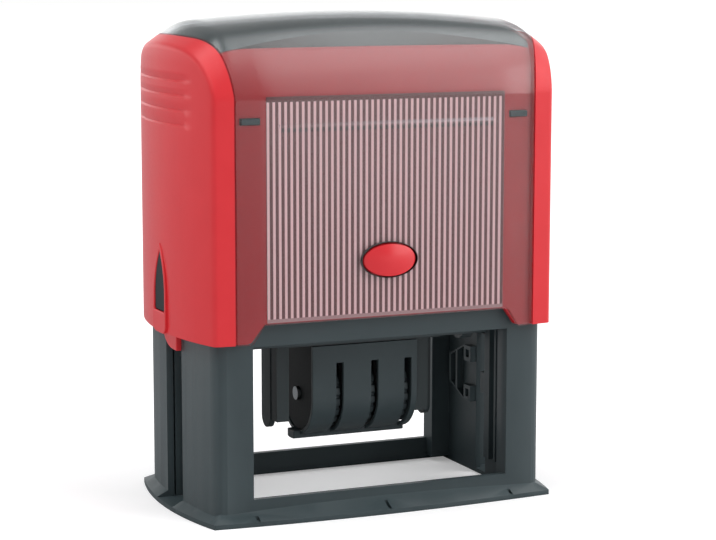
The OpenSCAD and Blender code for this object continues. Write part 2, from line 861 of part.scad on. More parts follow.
// Places its children behind each snap hook of the front cover
module at_hooks() {
    front_and_back() for (s = [-1, 1])
        translate([s * (cover_side - hook_inset - hook_l / 2), 0, hook_z]) children();
}

// Cap body without its cuts: full ends, sunk panels and a flat roof, hollow below
module cap_shell() {
    difference() {
        union() {
            difference() {
                cap_form(0, 0, 0, cap_bottom);
                cover_span(fit_gap, cap_top + over);
            }
            intersection() {
                cap_form(0, panel_inset, panel_inset, cap_bottom);
                cover_span(over, roof_z);
            }
        }
        intersection() {
            cap_form(cap_wall, panel_in, panel_in, cap_bottom - over);
            block([-cap_w, -cap_d, 0], [cap_w, cap_d, cavity_top]);
        }
    }
}

// Way through a panel and a card for a button's flange
module flange_outline() {
    room = button_flange + 2 * fit_gap;
    translate([0, button_z]) oval(button_w + 2 * room, button_h + 2 * room);
}

module cap_body() color(cap_colour) {
    difference() {
        union() {
            cap_shell();
            left_and_right() end_boss();
        }
        lower_arch();
        left_and_right() along_x(leg_out, cap_w) slot_outline(0);
        grip_grooves();
        front_and_back() along_y(-cap_d, -cap_d / 4) flange_outline();
        at_hooks() block([-hook_l / 2 - fit_gap, -cap_d, -hook_h / 2 - fit_gap],
                         [hook_l / 2 + fit_gap, -cap_d / 4, hook_h / 2 + fit_gap]);
    }
    left_and_right() guide_lug();
}

module smoky_cover() color(clear_colour) difference() {
    union() {
        difference() {
            intersection() {
                cap_form(0, 0, 0, cap_bottom);
                cover_span(0, cap_top + over);
            }
            cap_form(-over, cover_t, cover_t, cap_bottom - over);
        }
        at_hooks() block([-hook_l / 2, -cover_back - eps, -hook_h / 2],
                         [hook_l / 2, -cover_back + panel_inset + panel_t - cover_t, hook_h / 2]);
    }
    lower_arch();
    front_and_back() {
        along_y(-cap_d, -cap_d / 4) translate([0, button_z])
            oval(button_w + 2 * fit_gap, button_h + 2 * fit_gap);
        block([-nail_l / 2, -cap_d, nail_z - nail_w / 2],
              [nail_l / 2, -cap_d / 2 + nail_d, nail_z + nail_w / 2]);
    }
}

module card() {
    difference() {
        block([-card_w / 2, -cover_back, card_z], [card_w / 2, -cover_back + card_t, card_top]);
        along_y(-cap_d, 0) flange_outline();
    }
}

module front_card() color("#c9b3b2") card();

module back_card() color("#c9b3b2") rotate(180) card();

// Domed oval button with a holding flange and a locking stem
module lock_button() {
    face_y = -cap_d / 2 - button_out;
    flange_y = -cover_back + fit_gap;
    stem_end = -frame_d / 2 - run_gap;
    intersection() {
        along_y(face_y - over, flange_y + eps) translate([0, button_z]) oval(button_w, button_h);
        translate([0, face_y + button_dome_r, button_z]) sphere(button_dome_r, $fn = 180);
    }
    along_y(flange_y, flange_y + button_flange_t) translate([0, button_z])
        oval(button_w + 2 * button_flange, button_h + 2 * button_flange);
    along_y(flange_y, stem_end) translate([0, button_z]) circle(d = stem_d);
}

module front_lock_button() color(cap_colour) lock_button();

module back_lock_button() color(cap_colour) rotate(180) lock_button();

// Bridge under the roof with two legs that carry the carriage
module lift_yoke() color(frame_colour) {
    block([-leg_out, -bridge_w / 2, bridge_z], [leg_out, bridge_w / 2, cavity_top]);
    both_ends() difference() {
        along_x(leg_x, leg_out) {
            translate([-leg_w / 2, pivot_z]) square([leg_w, bridge_z + eps - pivot_z]);
            intersection() {
                translate([0, pivot_z]) circle(leg_end_r);
                translate([-leg_w / 2, pivot_z - pivot_d / 2 - leg_end]) square([leg_w, leg_w]);
            }
        }
        along_x(leg_x - over, leg_out + over) translate([0, pivot_z]) circle(d = pivot_d + 2 * pin_gap);
    }
    // catches that snap into the cap's pointed slots
    left_and_right() along_x(leg_out - eps, cap_w / 2 + boss_out - catch_sink) slot_outline(fit_gap);
}

// Opening in the carriage that the bands run through
module band_window(z0, z1) {
    block([-window_half_w, -window_half_d, z0 - over], [window_half_w, window_half_d, z1 + over]);
}

// Holder plate with the arms and pins that it turns on
module die_carriage() color(frame_colour) {
    arm_x = holder_w / 2;
    difference() {
        block([-holder_w / 2, -holder_d / 2, holder_z], [holder_w / 2, holder_d / 2, cushion_z]);
        band_window(holder_z, cushion_z);
    }
    both_ends() {
        along_x(arm_x - eps, arm_x + arm_t) translate([0, pivot_z]) circle(arm_r);
        along_x(arm_x, pin_end) translate([0, pivot_z]) circle(d = pivot_d);
    }
}

module die_cushion() color("#55585a") difference() {
    block([-die_w / 2, -die_d / 2, cushion_z], [die_w / 2, die_d / 2, die_base_z]);
    band_window(cushion_z, die_base_z);
}

// Print plate with plain raised lines above and below the date
module text_die() color(rubber_colour) {
    line_w = 1.6;
    line_pitch = 3.2;
    line_l = die_w - 8;
    line_step = 0.22;
    base_top = print_z - relief_h;
    difference() {
        block([-die_w / 2, -die_d / 2, die_base_z], [die_w / 2, die_d / 2, base_top]);
        band_window(die_base_z, base_top);
    }
    front_and_back() for (i = [0:1]) {
        y = -print_d / 2 + line_w / 2 + i * line_pitch;
        l = line_l * (1 - line_step * i);
        block([-l / 2, y - line_w / 2, base_top - eps], [l / 2, y + line_w / 2, print_z]);
    }
}

// Bracket that hangs the wheels under the holder plate
module dater_frame() color(frame_colour) {
    cheek_r = cheek_d / 2;
    difference() {
        block([-cheek_half, -guard_r, dater_z], [cheek_half, guard_r, holder_z]);
        band_window(dater_z, holder_z);
    }
    // side plates with the axle's bearings
    for (x = [side_left, side_right]) difference() {
        along_x(x, x + side_plate_t) {
            translate([0, axle_z]) circle(plate_r);
            translate([-plate_r, axle_z]) square([2 * plate_r, dater_z + eps - axle_z]);
        }
        along_x(x - over, x + side_plate_t + over) translate([0, axle_z]) circle(d = axle_d + 2 * pin_gap);
    }
    // end cheeks with rounded lower ends
    left_and_right() along_x(cheek_half - cheek_t, cheek_half) {
        translate([cheek_y, cheek_z + cheek_r]) circle(cheek_r);
        translate([cheek_y - cheek_r, cheek_z + cheek_r])
            square([cheek_d, dater_z + eps - cheek_z - cheek_r]);
    }
    // date viewing blocks at the left and right of the guard
    block([left_x, -view_front, view_z], [left_x + left_w, view_back, dater_z + eps]);
    block([guard_right + fit_gap, -view_front, view_z], [guard_right + right_w, view_back, dater_z + eps]);
}

// Cover over the bands with slots for the wheels' rims
module band_guard() color(frame_colour) difference() {
    union() {
        along_x(guard_left, guard_right) {
            translate([0, axle_z]) circle(guard_r);
            translate([-guard_r, axle_z]) square([2 * guard_r, guard_top - axle_z]);
        }
        along_x(bar_left, guard_right) intersection() {
            translate([0, axle_z]) circle(guard_bar_r);
            translate([-guard_bar_d / 2, axle_z - guard_bar_r]) square([guard_bar_d, guard_bar_r]);
        }
    }
    along_x(bar_left - over, guard_right + over) {
        translate([0, axle_z]) circle(guard_in);
        translate([-guard_in, axle_z]) square([2 * guard_in, guard_top + over - axle_z]);
    }
    for (x = [slot_day, slot_month, slot_year]) front_and_back()
        block([x - slot_w / 2, -2 * guard_r, axle_z - 2 * guard_r],
              [x + slot_w / 2, -guard_bar_d / 2, slot_top]);
}

module wheel_axle() color(steel_colour)
    along_x(side_left - axle_out, side_right + side_plate_t + axle_out)
        translate([0, axle_z]) circle(d = axle_d);

// Setting wheel: a drum of the band's width beside a notched finger rim
module setting_wheel(slot_x, band_w) {
    drum_x = slot_x - rim_w / 2 - band_w;
    difference() {
        union() {
            along_x(slot_x - rim_w / 2, slot_x + rim_w / 2) translate([0, axle_z]) circle(rim_r);
            along_x(drum_x, slot_x) translate([0, axle_z]) circle(drum_r);
        }
        along_x(drum_x - over, slot_x + rim_w) translate([0, axle_z]) circle(d = axle_d + 2 * pin_gap);
        for (i = [0:rim_notches - 1]) along_x(slot_x - rim_w, slot_x + rim_w)
            translate([0, axle_z]) rotate(360 * i / rim_notches) translate([rim_r, 0]) circle(notch_r);
    }
}

module day_wheel() color("#50585b") setting_wheel(slot_day, day_band_w);

module month_wheel() color("#50585b") setting_wheel(slot_month, month_band_w);

module year_wheel() color("#50585b") setting_wheel(slot_year, year_band_w);

// Endless rubber band round a drum and over the platen
module date_band(slot_x, band_w) {
    right = slot_x - rim_w / 2 - run_gap;
    left = right - band_w + run_gap;
    along_x(left, right) difference() {
        loop_outline(band_r, axle_z, platen_r + band_t, platen_z);
        loop_outline(band_r - band_t, axle_z, platen_r, platen_z);
    }
}

module day_band() color(rubber_colour) date_band(slot_day, day_band_w);

module month_band() color(rubber_colour) date_band(slot_month, month_band_w);

module year_band() color(rubber_colour) date_band(slot_year, year_band_w);

// Bar that presses the bands to the paper, set between the holder's edges
module band_platen() color(frame_colour) {
    bar_r = platen_r - fit_gap;
    bar_z = dater_z + 2 * fit_gap;
    along_x(-window_half_w + fit_gap, window_half_w - fit_gap) {
        translate([0, platen_z]) circle(bar_r);
        translate([-bar_r, bar_z]) square([2 * bar_r, platen_z - bar_z]);
    }
}

base_frame();
pad_tray();
ink_pad();
return_spring();
cap_body();
smoky_cover();
front_card();
back_card();
front_lock_button();
back_lock_button();
lift_yoke();
die_carriage();
die_cushion();
text_die();
dater_frame();
band_guard();
wheel_axle();
band_platen();
day_wheel();
month_wheel();
year_wheel();
day_band();
month_band();
year_band();
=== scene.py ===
"""Looks of a self-inking date stamp: a red cap with a smoky cover on a dark frame, and its dater."""

import math

import bmesh
import bpy
from mathutils import Matrix, Vector


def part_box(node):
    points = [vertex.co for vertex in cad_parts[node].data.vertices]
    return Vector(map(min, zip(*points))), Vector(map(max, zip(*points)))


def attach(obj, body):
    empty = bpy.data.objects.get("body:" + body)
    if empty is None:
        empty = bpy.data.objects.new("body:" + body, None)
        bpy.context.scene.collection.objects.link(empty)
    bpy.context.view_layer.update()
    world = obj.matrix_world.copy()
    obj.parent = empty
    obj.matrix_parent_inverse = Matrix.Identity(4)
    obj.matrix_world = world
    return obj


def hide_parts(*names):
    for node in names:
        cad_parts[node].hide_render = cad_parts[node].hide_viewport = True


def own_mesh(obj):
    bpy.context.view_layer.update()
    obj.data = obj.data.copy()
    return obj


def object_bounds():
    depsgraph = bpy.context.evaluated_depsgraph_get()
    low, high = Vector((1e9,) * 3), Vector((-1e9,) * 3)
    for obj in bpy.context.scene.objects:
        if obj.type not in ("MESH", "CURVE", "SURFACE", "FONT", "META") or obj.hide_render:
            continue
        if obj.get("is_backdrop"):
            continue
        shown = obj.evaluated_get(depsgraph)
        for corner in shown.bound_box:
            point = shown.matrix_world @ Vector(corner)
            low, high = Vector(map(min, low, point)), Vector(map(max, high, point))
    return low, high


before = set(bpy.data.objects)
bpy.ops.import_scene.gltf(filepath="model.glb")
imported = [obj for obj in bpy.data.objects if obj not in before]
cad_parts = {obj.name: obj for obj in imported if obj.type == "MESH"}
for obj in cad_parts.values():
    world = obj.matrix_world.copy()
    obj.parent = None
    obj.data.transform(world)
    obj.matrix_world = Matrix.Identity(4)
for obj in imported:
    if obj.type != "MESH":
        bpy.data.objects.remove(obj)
cad_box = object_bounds()

# Sizes are in millimetres, and a finished piece is scaled to metres
MM = 0.001


def box_mm(node):
    """Low and high corners of a solid's box."""
    low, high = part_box(node)
    return low / MM, high / MM


_, cap_high = box_mm("cap_body")
cover_low, cover_high = box_mm("smoky_cover")
card_low, card_high = box_mm("front_card")
button_low, button_high = box_mm("front_lock_button")
spring_low, spring_high = box_mm("return_spring")
tray_low, tray_high = box_mm("pad_tray")

# Form of the cap, drawn inside the box of its solids
CAP_HALF_D = cover_high.y
CAP_TOP = cover_high.z
CAP_BOTTOM = cover_low.z
COVER_HALF = cover_high.x
BOSS_OUT = 0.65
CAP_HALF_W = cap_high.x - BOSS_OUT
CAP_BOW = 5.65
COVER_BOW = 7.8
END_R = (CAP_HALF_D**2 + CAP_BOW**2) / (2 * CAP_BOW)
SPLIT_R = (CAP_HALF_D**2 + COVER_BOW**2) / (2 * COVER_BOW)
CROWN_R = 80.8
CROWN_RUN_R = 466
CROWN_Z = CAP_TOP - CROWN_R
BEVEL_START = CAP_HALF_W - 9.75
BEVEL_SLOPE = math.tan(math.radians(34))
BEVEL_ROUND = 1.4
CARD_MARGIN = 1.2
FACET_START = card_high.x + CARD_MARGIN
FACET_SLOPE = math.tan(math.radians(6.5))
FACET_ROUND = 0.8
SHOULDER_Z = CAP_TOP - 23
SHOULDER_R = 28
PLATEAU_HALF = 15
ARCH_Z = card_low.z - 1.9
ARCH_TOP_HALF = card_high.x + CARD_MARGIN
ARCH_FOOT_HALF = ARCH_TOP_HALF + 3.6

# Rows and stations at which the cap's form is drawn
SIDE_ROWS = (0, 0.03, 0.12, 0.3, 0.5, 0.7, 0.86, 0.95, 0.985)
SHOULDER_STEPS = 16
CROWN_STEPS = 12
TOP_ROW = 1.6
CROWN_LIP = 1.72
FACE_STATIONS = (0, 6, 12, 18, 24, 30, 34.5, 38, 39, 40, 40.6, 41.2, 41.8, 42.4, 43, 44, 45, 46.1)
END_STATIONS = 10
CREASE_STEPS = 4
OGIVE_STEPS = 14
CORNER_STEPS = 5
ROOF_STEPS = 5
OVAL_STEPS = 64
MEET_ROUNDS = 14

# Soft bend between the shoulder and the crown: its reach to each side, and its rows
BEND = 7.0
BEND_START = 1 + 10 / SHOULDER_STEPS
BEND_END = 2 + 3 / CROWN_STEPS
FOOT_BLEND = 0.5

# Walls and gaps of the cap's pieces
COVER_T = 1.4
PANEL_INSET = 1.9
PANEL_T = 1.5
PANEL_PAST = 3.0
ROOF_Z = CAP_TOP - 9.9
ROOF_ROUND = 1.6
ROOF_EDGE = ROOF_ROUND * 0.6
ROOF_Y = PLATEAU_HALF + 10
# Dark sheet of painted shade under the crown: its start set in from the roof's edge, its wall and its
# gap to the cover
ROOF_PLATE_GAP = 3.5
CROWN_T = 0.8
CROWN_GAP = 1.0
END_WALL = 2.2
SPLIT_GAP = 0.5
CREASE = 1.2
TRAY_GAP = 0.3
TRAY_STEP = 2.4
CARD_HOLE = 0.45
CARD_EDGE = 0.25

# Buttons on the front and the back
BUTTON_Z = (button_low.z + button_high.z) / 2
BUTTON_HALF_W = 8.15
BUTTON_HALF_H = 4.6
BUTTON_DOME_R = 20
BUTTON_EDGE = 0.25
BUTTON_GAP = 0.5
DOME_SHARES = (1, 0.985, 0.94, 0.86, 0.74, 0.6, 0.45, 0.3, 0.15)
FLANGE = 1.2
FLANGE_T = 1
FLANGE_GAP = 0.2
FLANGE_ROOM = 0.4
STEM_R = 2
RIM_IN = 0.12
RIM_OUT = 0.05

# Snap hooks and nail groove of the cover
HOOK_Z = SHOULDER_Z - 6.5
HOOK_HALF_L = 2.75
HOOK_HALF_H = 0.85
HOOK_X = COVER_HALF - COVER_BOW - 1.4 - HOOK_HALF_L
HOOK_DEEP = PANEL_T + 0.5
HOOK_ROOM = 0.2
NAIL_Z = SHOULDER_Z - 7.9
NAIL_HALF_L = 33.5
NAIL_OVER = 0.5
NAIL_UNDER = 0.8
NAIL_D = 0.6

# Grip ledges, pointed slot, boss and guide lug of the red ends
GRIPS = 4
GRIP_TOP = SHOULDER_Z + 4.4
GRIP_PITCH = 4.15
GRIP_SLOPE = 1.7
GRIP_LEDGE = 0.5
GRIP_D = 0.45
GRIP_FRONT = -22
GRIP_BACK = 30
GRIP_FADE = 8
OGIVE_HALF = 4.4
OGIVE_Z = CAP_BOTTOM + 6
OGIVE_STRAIGHT = 4
OGIVE_POINT = 13.5
SLOT_CORNER = 0.3
BOSS_HALF = 5.4
BOSS_Z = CAP_BOTTOM - 0.3
BOSS_RISE = 2.4
BOSS_TAPER = 0.35
BOSS_CORNER = 2.5
BOSS_SINK = 0.2
LUG_HALF = 6.2
LUG_LOW = CAP_BOTTOM - 5
LUG_RISE = 7
LUG_FLAT = 3
LUG_IN = 51.1
LUG_GAP = 0.2

# How far cutters reach past a face and in behind it
OVAL_PAST = 4
NAIL_PAST = 2
SLOT_PAST = 5
CUT_IN = 8

# How near counts as the same place
WELD = 0.01
COPY_WELD = 0.002
BISECT_SNAP = 1e-4
FACE_NEAR = 0.05
POINT_NEAR = 0.01

# Print on the cards, with a painted shadow and a painted highlight at the nail groove
STRIPE_PITCH = 1.752
STRIPE_SHARE = 0.46
STRIPE_TOP = card_high.z - 1.5
STRIPE_FOOT = card_low.z - 0.6
BORDER_SHARE = 0.4
# Painted shadow: dark dashes under the cover's nail groove, and how far to each side they reach
GROOVE_SHADOW_Z = NAIL_Z - 1.2
GROOVE_SHADOW_HALF = 0.55
GROOVE_MARKS_REACH = 33.2
# Painted highlight: a pale line along the nail groove, stronger towards the right
GROOVE_HIGHLIGHT_Z = NAIL_Z + 0.15
GROOVE_HIGHLIGHT_HALF = 0.5
GROOVE_HIGHLIGHT_SHARE = 0.36


# Colours and materials


def linear(code):
    """Linear colour, with alpha 1, of an sRGB hex value."""
    values = [int(code[i : i + 2], 16) / 255 for i in (1, 3, 5)]
    return [v / 12.92 if v <= 0.04045 else ((v + 0.055) / 1.055) ** 2.4 for v in values] + [1.0]


def add(tree, kind, inputs=None, **settings):
    """Adds a node with its settings, and sets or links its inputs."""
    node = tree.nodes.new(kind)
    for key, value in settings.items():
        setattr(node, key, value)
    for key, value in (inputs or {}).items():
        if isinstance(value, bpy.types.NodeSocket):
            tree.links.new(value, node.inputs[key])
        else:
            node.inputs[key].default_value = value
    return node


def new_material(name):
    """A material with nothing in it but its output node."""
    material = bpy.data.materials.new(name)
    material.use_nodes = True
    material.node_tree.nodes.clear()
    output = add(material.node_tree, "ShaderNodeOutputMaterial")
    return material, material.node_tree, output


def per_mm(size):
    """Texture scale, on Object coordinates in metres, for a pattern of that size in millimetres."""
    return 1 / (size * MM)


FLOW_CLOUD = 9.0
MOULD_GRAIN_D = 0.05
ABS_IOR = 1.53


def moulded_plastic(name, low, high, roughness, grain, bump, specular=0.3):
    """Injection-moulded plastic: an even colour with faint flow clouds, and the mould's fine grain."""
    material, tree, output = new_material(name)
    place = add(tree, "ShaderNodeTexCoord").outputs["Object"]
    clouds = add(
        tree, "ShaderNodeTexNoise", {"Vector": place, "Scale": per_mm(FLOW_CLOUD), "Detail": 3.0}
    ).outputs["Fac"]
    grains = add(
        tree, "ShaderNodeTexNoise", {"Vector": place, "Scale": per_mm(grain), "Detail": 2.0}
    ).outputs["Fac"]
    colour = add(
        tree,
        "ShaderNodeMix",
        {"Factor": clouds, "A": linear(low), "B": linear(high)},
        data_type="RGBA",
    )
    gloss = add(
        tree,
        "ShaderNodeMapRange",
        {"Value": grains, "To Min": roughness - 0.05, "To Max": roughness + 0.07},
    )
    relief = add(
        tree,
        "ShaderNodeBump",
        {"Height": grains, "Strength": bump, "Distance": MOULD_GRAIN_D * MM},
    )
    shader = add(
        tree,
        "ShaderNodeBsdfPrincipled",
        {
            "Base Color": colour.outputs["Result"],
            "Roughness": gloss.outputs["Result"],
            "Normal": relief.outputs["Normal"],
            "Specular IOR Level": specular,
            "IOR": ABS_IOR,
        },
    )
    tree.links.new(shader.outputs["BSDF"], output.inputs["Surface"])
    return material


SMOKE_POWER = 2.0
MIRROR_POWER = 5.0
MIRROR_FACING = 0.04
MIRROR_SLANT = 0.9


def smoky_polystyrene():
    """Clear moulded polystyrene with a smoke tint: glossy, and darker where it is seen at a slant."""
    material, tree, output = new_material("smoky_polystyrene")
    slant = add(tree, "ShaderNodeLayerWeight", {"Blend": 0.5}).outputs["Facing"]
    depth = add(tree, "ShaderNodeMath", {0: slant, 1: SMOKE_POWER}, operation="POWER")
    tint = add(
        tree,
        "ShaderNodeMix",
        {"Factor": depth.outputs["Value"], "A": linear("#f8f9f9"), "B": linear("#a9aeb0")},
        data_type="RGBA",
    )
    steep = add(tree, "ShaderNodeMath", {0: slant, 1: MIRROR_POWER}, operation="POWER")
    share = add(
        tree,
        "ShaderNodeMapRange",
        {"Value": steep.outputs["Value"], "To Min": MIRROR_FACING, "To Max": MIRROR_SLANT},
    )
    through = add(tree, "ShaderNodeBsdfTransparent", {"Color": tint.outputs["Result"]})
    mirror = add(tree, "ShaderNodeBsdfGlossy", {"Color": linear("#ffffff"), "Roughness": 0.12})
    shown = add(
        tree,
        "ShaderNodeMixShader",
        {0: share.outputs["Result"], 1: through.outputs["BSDF"], 2: mirror.outputs["BSDF"]},
    )
    tree.links.new(shown.outputs["Shader"], output.inputs["Surface"])
    return material


def striped_card():
    """Printed card: pale upright stripes on dark red, with a painted highlight line and a row of painted
    shadow dashes across them at the nail groove.
    """
    material, tree, output = new_material("striped_card")
    place = add(tree, "ShaderNodeTexCoord").outputs["Object"]
    parts = add(tree, "ShaderNodeSeparateXYZ", {"Vector": place})
    along = parts.outputs["X"]
    height = parts.outputs["Z"]
    count = add(
        tree,
        "ShaderNodeMath",
        {0: along, 1: per_mm(STRIPE_PITCH), 2: card_high.x / STRIPE_PITCH},
        operation="MULTIPLY_ADD",
    ).outputs["Value"]
    phase = add(tree, "ShaderNodeMath", {0: count}, operation="FRACT").outputs["Value"]
    pale = add(
        tree, "ShaderNodeMath", {0: phase, 1: STRIPE_SHARE}, operation="LESS_THAN"
    ).outputs["Value"]
    under = add(
        tree, "ShaderNodeMath", {0: height, 1: STRIPE_TOP * MM}, operation="LESS_THAN"
    ).outputs["Value"]
    field = add(tree, "ShaderNodeMath", {0: pale, 1: under}, operation="MULTIPLY")
    border = add(tree, "ShaderNodeMath", {0: height, 1: STRIPE_FOOT * MM}, operation="LESS_THAN")
    stripe = add(
        tree,
        "ShaderNodeMix",
        {"Factor": border.outputs["Value"], "A": field.outputs["Value"], "B": BORDER_SHARE},
        data_type="FLOAT",
    )
    aside = add(tree, "ShaderNodeMath", {0: along}, operation="ABSOLUTE").outputs["Value"]
    reach = add(
        tree, "ShaderNodeMath", {0: aside, 1: GROOVE_MARKS_REACH * MM}, operation="LESS_THAN"
    ).outputs["Value"]
    groove_shadow_band = add(
        tree,
        "ShaderNodeMath",
        {0: height, 1: GROOVE_SHADOW_Z * MM, 2: GROOVE_SHADOW_HALF * MM},
        operation="COMPARE",
    ).outputs["Value"]
    groove_shadow = add(tree, "ShaderNodeMath", {0: groove_shadow_band, 1: reach}, operation="MULTIPLY")
    # Painted shadow of the nail groove: the dark red between the stripes turns nearly black in the dash
    # row
    ground = add(
        tree,
        "ShaderNodeMix",
        {"Factor": groove_shadow.outputs["Value"], "A": linear("#64282c"), "B": linear("#2e060b")},
        data_type="RGBA",
    ).outputs["Result"]
    striped = add(
        tree,
        "ShaderNodeMix",
        {"Factor": stripe.outputs["Result"], "A": ground, "B": linear("#f5c6c9")},
        data_type="RGBA",
    ).outputs["Result"]
    # Painted highlight of the nail groove: a pale line over the dashes, fading out to the left
    groove_highlight_band = add(
        tree,
        "ShaderNodeMath",
        {0: height, 1: GROOVE_HIGHLIGHT_Z * MM, 2: GROOVE_HIGHLIGHT_HALF * MM},
        operation="COMPARE",
    ).outputs["Value"]
    across = add(tree, "ShaderNodeMath", {0: groove_highlight_band, 1: reach}, operation="MULTIPLY")
    fade = add(
        tree,
        "ShaderNodeMapRange",
        {
            "Value": along,
            "From Min": -GROOVE_MARKS_REACH * MM,
            "From Max": GROOVE_MARKS_REACH * MM,
            "To Max": GROOVE_HIGHLIGHT_SHARE,
        },
    )
    line = add(
        tree,
        "ShaderNodeMath",
        {0: across.outputs["Value"], 1: fade.outputs["Result"]},
        operation="MULTIPLY",
    )
    colour = add(
        tree,
        "ShaderNodeMix",
        {"Factor": line.outputs["Value"], "A": striped, "B": linear("#f2e4ec")},
        data_type="RGBA",
    )
    fibres = add(
        tree, "ShaderNodeTexNoise", {"Vector": place, "Scale": per_mm(0.4), "Detail": 4.0}
    )
    relief = add(
        tree,
        "ShaderNodeBump",
        {"Height": fibres.outputs["Fac"], "Strength": 0.08, "Distance": 0.05 * MM},
    )
    shader = add(
        tree,
        "ShaderNodeBsdfPrincipled",
        {
            "Base Color": colour.outputs["Result"],
            "Normal": relief.outputs["Normal"],
            "Roughness": 0.55,
        },
    )
    tree.links.new(shader.outputs["BSDF"], output.inputs["Surface"])
    return material


def drawn_steel(name, colour):
    """Drawn steel wire: bright or dulled metal with fine lines left by the die."""
    material, tree, output = new_material(name)
    place = add(tree, "ShaderNodeTexCoord").outputs["Object"]
    lines = add(
        tree, "ShaderNodeTexNoise", {"Vector": place, "Scale": per_mm(0.3), "Detail": 3.0}
    )
    gloss = add(
        tree,
        "ShaderNodeMapRange",
        {"Value": lines.outputs["Fac"], "To Min": 0.2, "To Max": 0.42},
    )
    shader = add(
        tree,
        "ShaderNodeBsdfPrincipled",
        {
            "Base Color": linear(colour),
            "Metallic": 1.0,
            "Roughness": gloss.outputs["Result"],
        },
    )
    tree.links.new(shader.outputs["BSDF"], output.inputs["Surface"])
    return material


def inked_felt():
    """Felt soaked with ink: matt, dark and fibrous, with wetter patches."""
    material, tree, output = new_material("inked_felt")
    place = add(tree, "ShaderNodeTexCoord").outputs["Object"]
    fibres = add(
        tree, "ShaderNodeTexNoise", {"Vector": place, "Scale": per_mm(0.5), "Detail": 5.0}
    )
    patches = add(
        tree, "ShaderNodeTexNoise", {"Vector": place, "Scale": per_mm(11.0), "Detail": 2.0}
    ).outputs["Fac"]
    colour = add(
        tree,
        "ShaderNodeMix",
        {"Factor": patches, "A": linear("#1d1530"), "B": linear("#33264d")},
        data_type="RGBA",
    )
    gloss = add(tree, "ShaderNodeMapRange", {"Value": patches, "To Min": 0.6, "To Max": 0.9})
    relief = add(
        tree,
        "ShaderNodeBump",
        {"Height": fibres.outputs["Fac"], "Strength": 0.6, "Distance": 0.2 * MM},
    )
    shader = add(
        tree,
        "ShaderNodeBsdfPrincipled",
        {
            "Base Color": colour.outputs["Result"],
            "Roughness": gloss.outputs["Result"],
            "Normal": relief.outputs["Normal"],
            "Sheen Weight": 0.3,
        },
    )
    tree.links.new(shader.outputs["BSDF"], output.inputs["Surface"])
    return material


# Frame and works: dark grey ABS with the satin of a grained mould
frame_plastic = moulded_plastic(
    "satin_grey_abs", "#343e41", "#3a4548", roughness=0.42, grain=0.55, bump=0.2
)
# Cap ends: red ABS from a smooth mould, with soft broad reflections
red_plastic = moulded_plastic(
    "gloss_red_abs", "#cf2029", "#d72931", roughness=0.32, grain=0.7, bump=0.06, specular=0.42
)
# Buttons: the same red from a polished mould, with a clear highlight
button_plastic = moulded_plastic(
    "polished_red_abs", "#cf2029", "#d72931", roughness=0.2, grain=0.7, bump=0.03, specular=0.5
)
# Panel under the cover: a deeper red with hardly any shine of its own
panel_plastic = moulded_plastic(
    "deep_red_abs", "#a91d26", "#b5232b", roughness=0.45, grain=0.7, bump=0.02, specular=0.2
)
# Dater: the frame's ABS in a darker grey, as painted shade where it sits back inside the frame
shaded_dater_plastic = moulded_plastic(
    "shaded_dark_grey_abs", "#2a3234", "#30393b", roughness=0.42, grain=0.55, bump=0.2
)
# Yoke, seen deep in the end slots: a darker grey without shine, as painted shade of the slots' depth
shaded_yoke_plastic = moulded_plastic(
    "shaded_matt_grey_abs", "#23292b", "#282f31", roughness=0.6, grain=0.55, bump=0.2, specular=0.15
)
# Side plate of the dater: matt and nearly black, as painted shade on its left face
plate_shade_black = moulded_plastic(
    "plate_shade_black_abs", "#141718", "#181c1d", roughness=0.6, grain=0.55, bump=0.2, specular=0.15
)
# Setting wheels: grey acetal, a little waxy
wheel_plastic = moulded_plastic(
    "grey_acetal", "#30393c", "#384245", roughness=0.38, grain=0.5, bump=0.15
)
# Text plate and bands: moulded rubber, dull and near black
die_rubber = moulded_plastic(
    "moulded_rubber", "#242527", "#2d2e30", roughness=0.62, grain=0.35, bump=0.35
)
# Cushion behind the text plate: foam with a rough open skin
foam = moulded_plastic("foam_sheet", "#4b4e50", "#5a5d5f", roughness=0.85, grain=0.8, bump=0.7)
# Cut edges of the cover round the buttons: dark from the smoke seen along the sheet, and darker still as
# painted shade of the gap round the buttons
rim_shade = moulded_plastic(
    "smoky_rim_shade", "#1c0a0b", "#240d0e", roughness=0.3, grain=0.7, bump=0.02, specular=0.2
)
smoky = smoky_polystyrene()
card_print = striped_card()
steel = drawn_steel("drawn_steel", "#b9bdc0")
dark_steel = drawn_steel("dull_steel", "#8c9193")
felt = inked_felt()


# Mesh tools


def chain(bm, points, closed=False):
    """Edges that join the points in turn."""
    verts = [bm.verts.new(p) for p in points]
    follow = verts[1:] + (verts[:1] if closed else [])
    return [bm.edges.new(pair) for pair in zip(verts, follow)]


def loft(bm, chains, closed=False):
    """Faces between each chain and the next one."""
    follow = chains[1:] + (chains[:1] if closed else [])
    for one, other in zip(chains, follow):
        bmesh.ops.bridge_loops(bm, edges=one + other)


def prism(bm, outline, along):
    """Closed solid drawn from a flat outline along a vector."""
    face = bm.faces.new([bm.verts.new(p) for p in outline])
    made = bmesh.ops.extrude_face_region(bm, geom=[face])["geom"]
    moved = [g for g in made if isinstance(g, bmesh.types.BMVert)]
    bmesh.ops.translate(bm, vec=along, verts=moved)


def thicken(bm, wall):
    """Gives an open sheet a wall."""
    bmesh.ops.recalc_face_normals(bm, faces=bm.faces)
    bmesh.ops.solidify(bm, geom=bm.faces[:], thickness=wall)


def fresh_object(bm, name):
    """Puts a bmesh, modelled in millimetres, into a new object in metres."""
    bmesh.ops.scale(bm, vec=(MM, MM, MM), verts=bm.verts)
    mesh = bpy.data.meshes.new(name)
    bm.to_mesh(mesh)
    bm.free()
    thing = bpy.data.objects.new(name, mesh)
    bpy.context.scene.collection.objects.link(thing)
    return thing


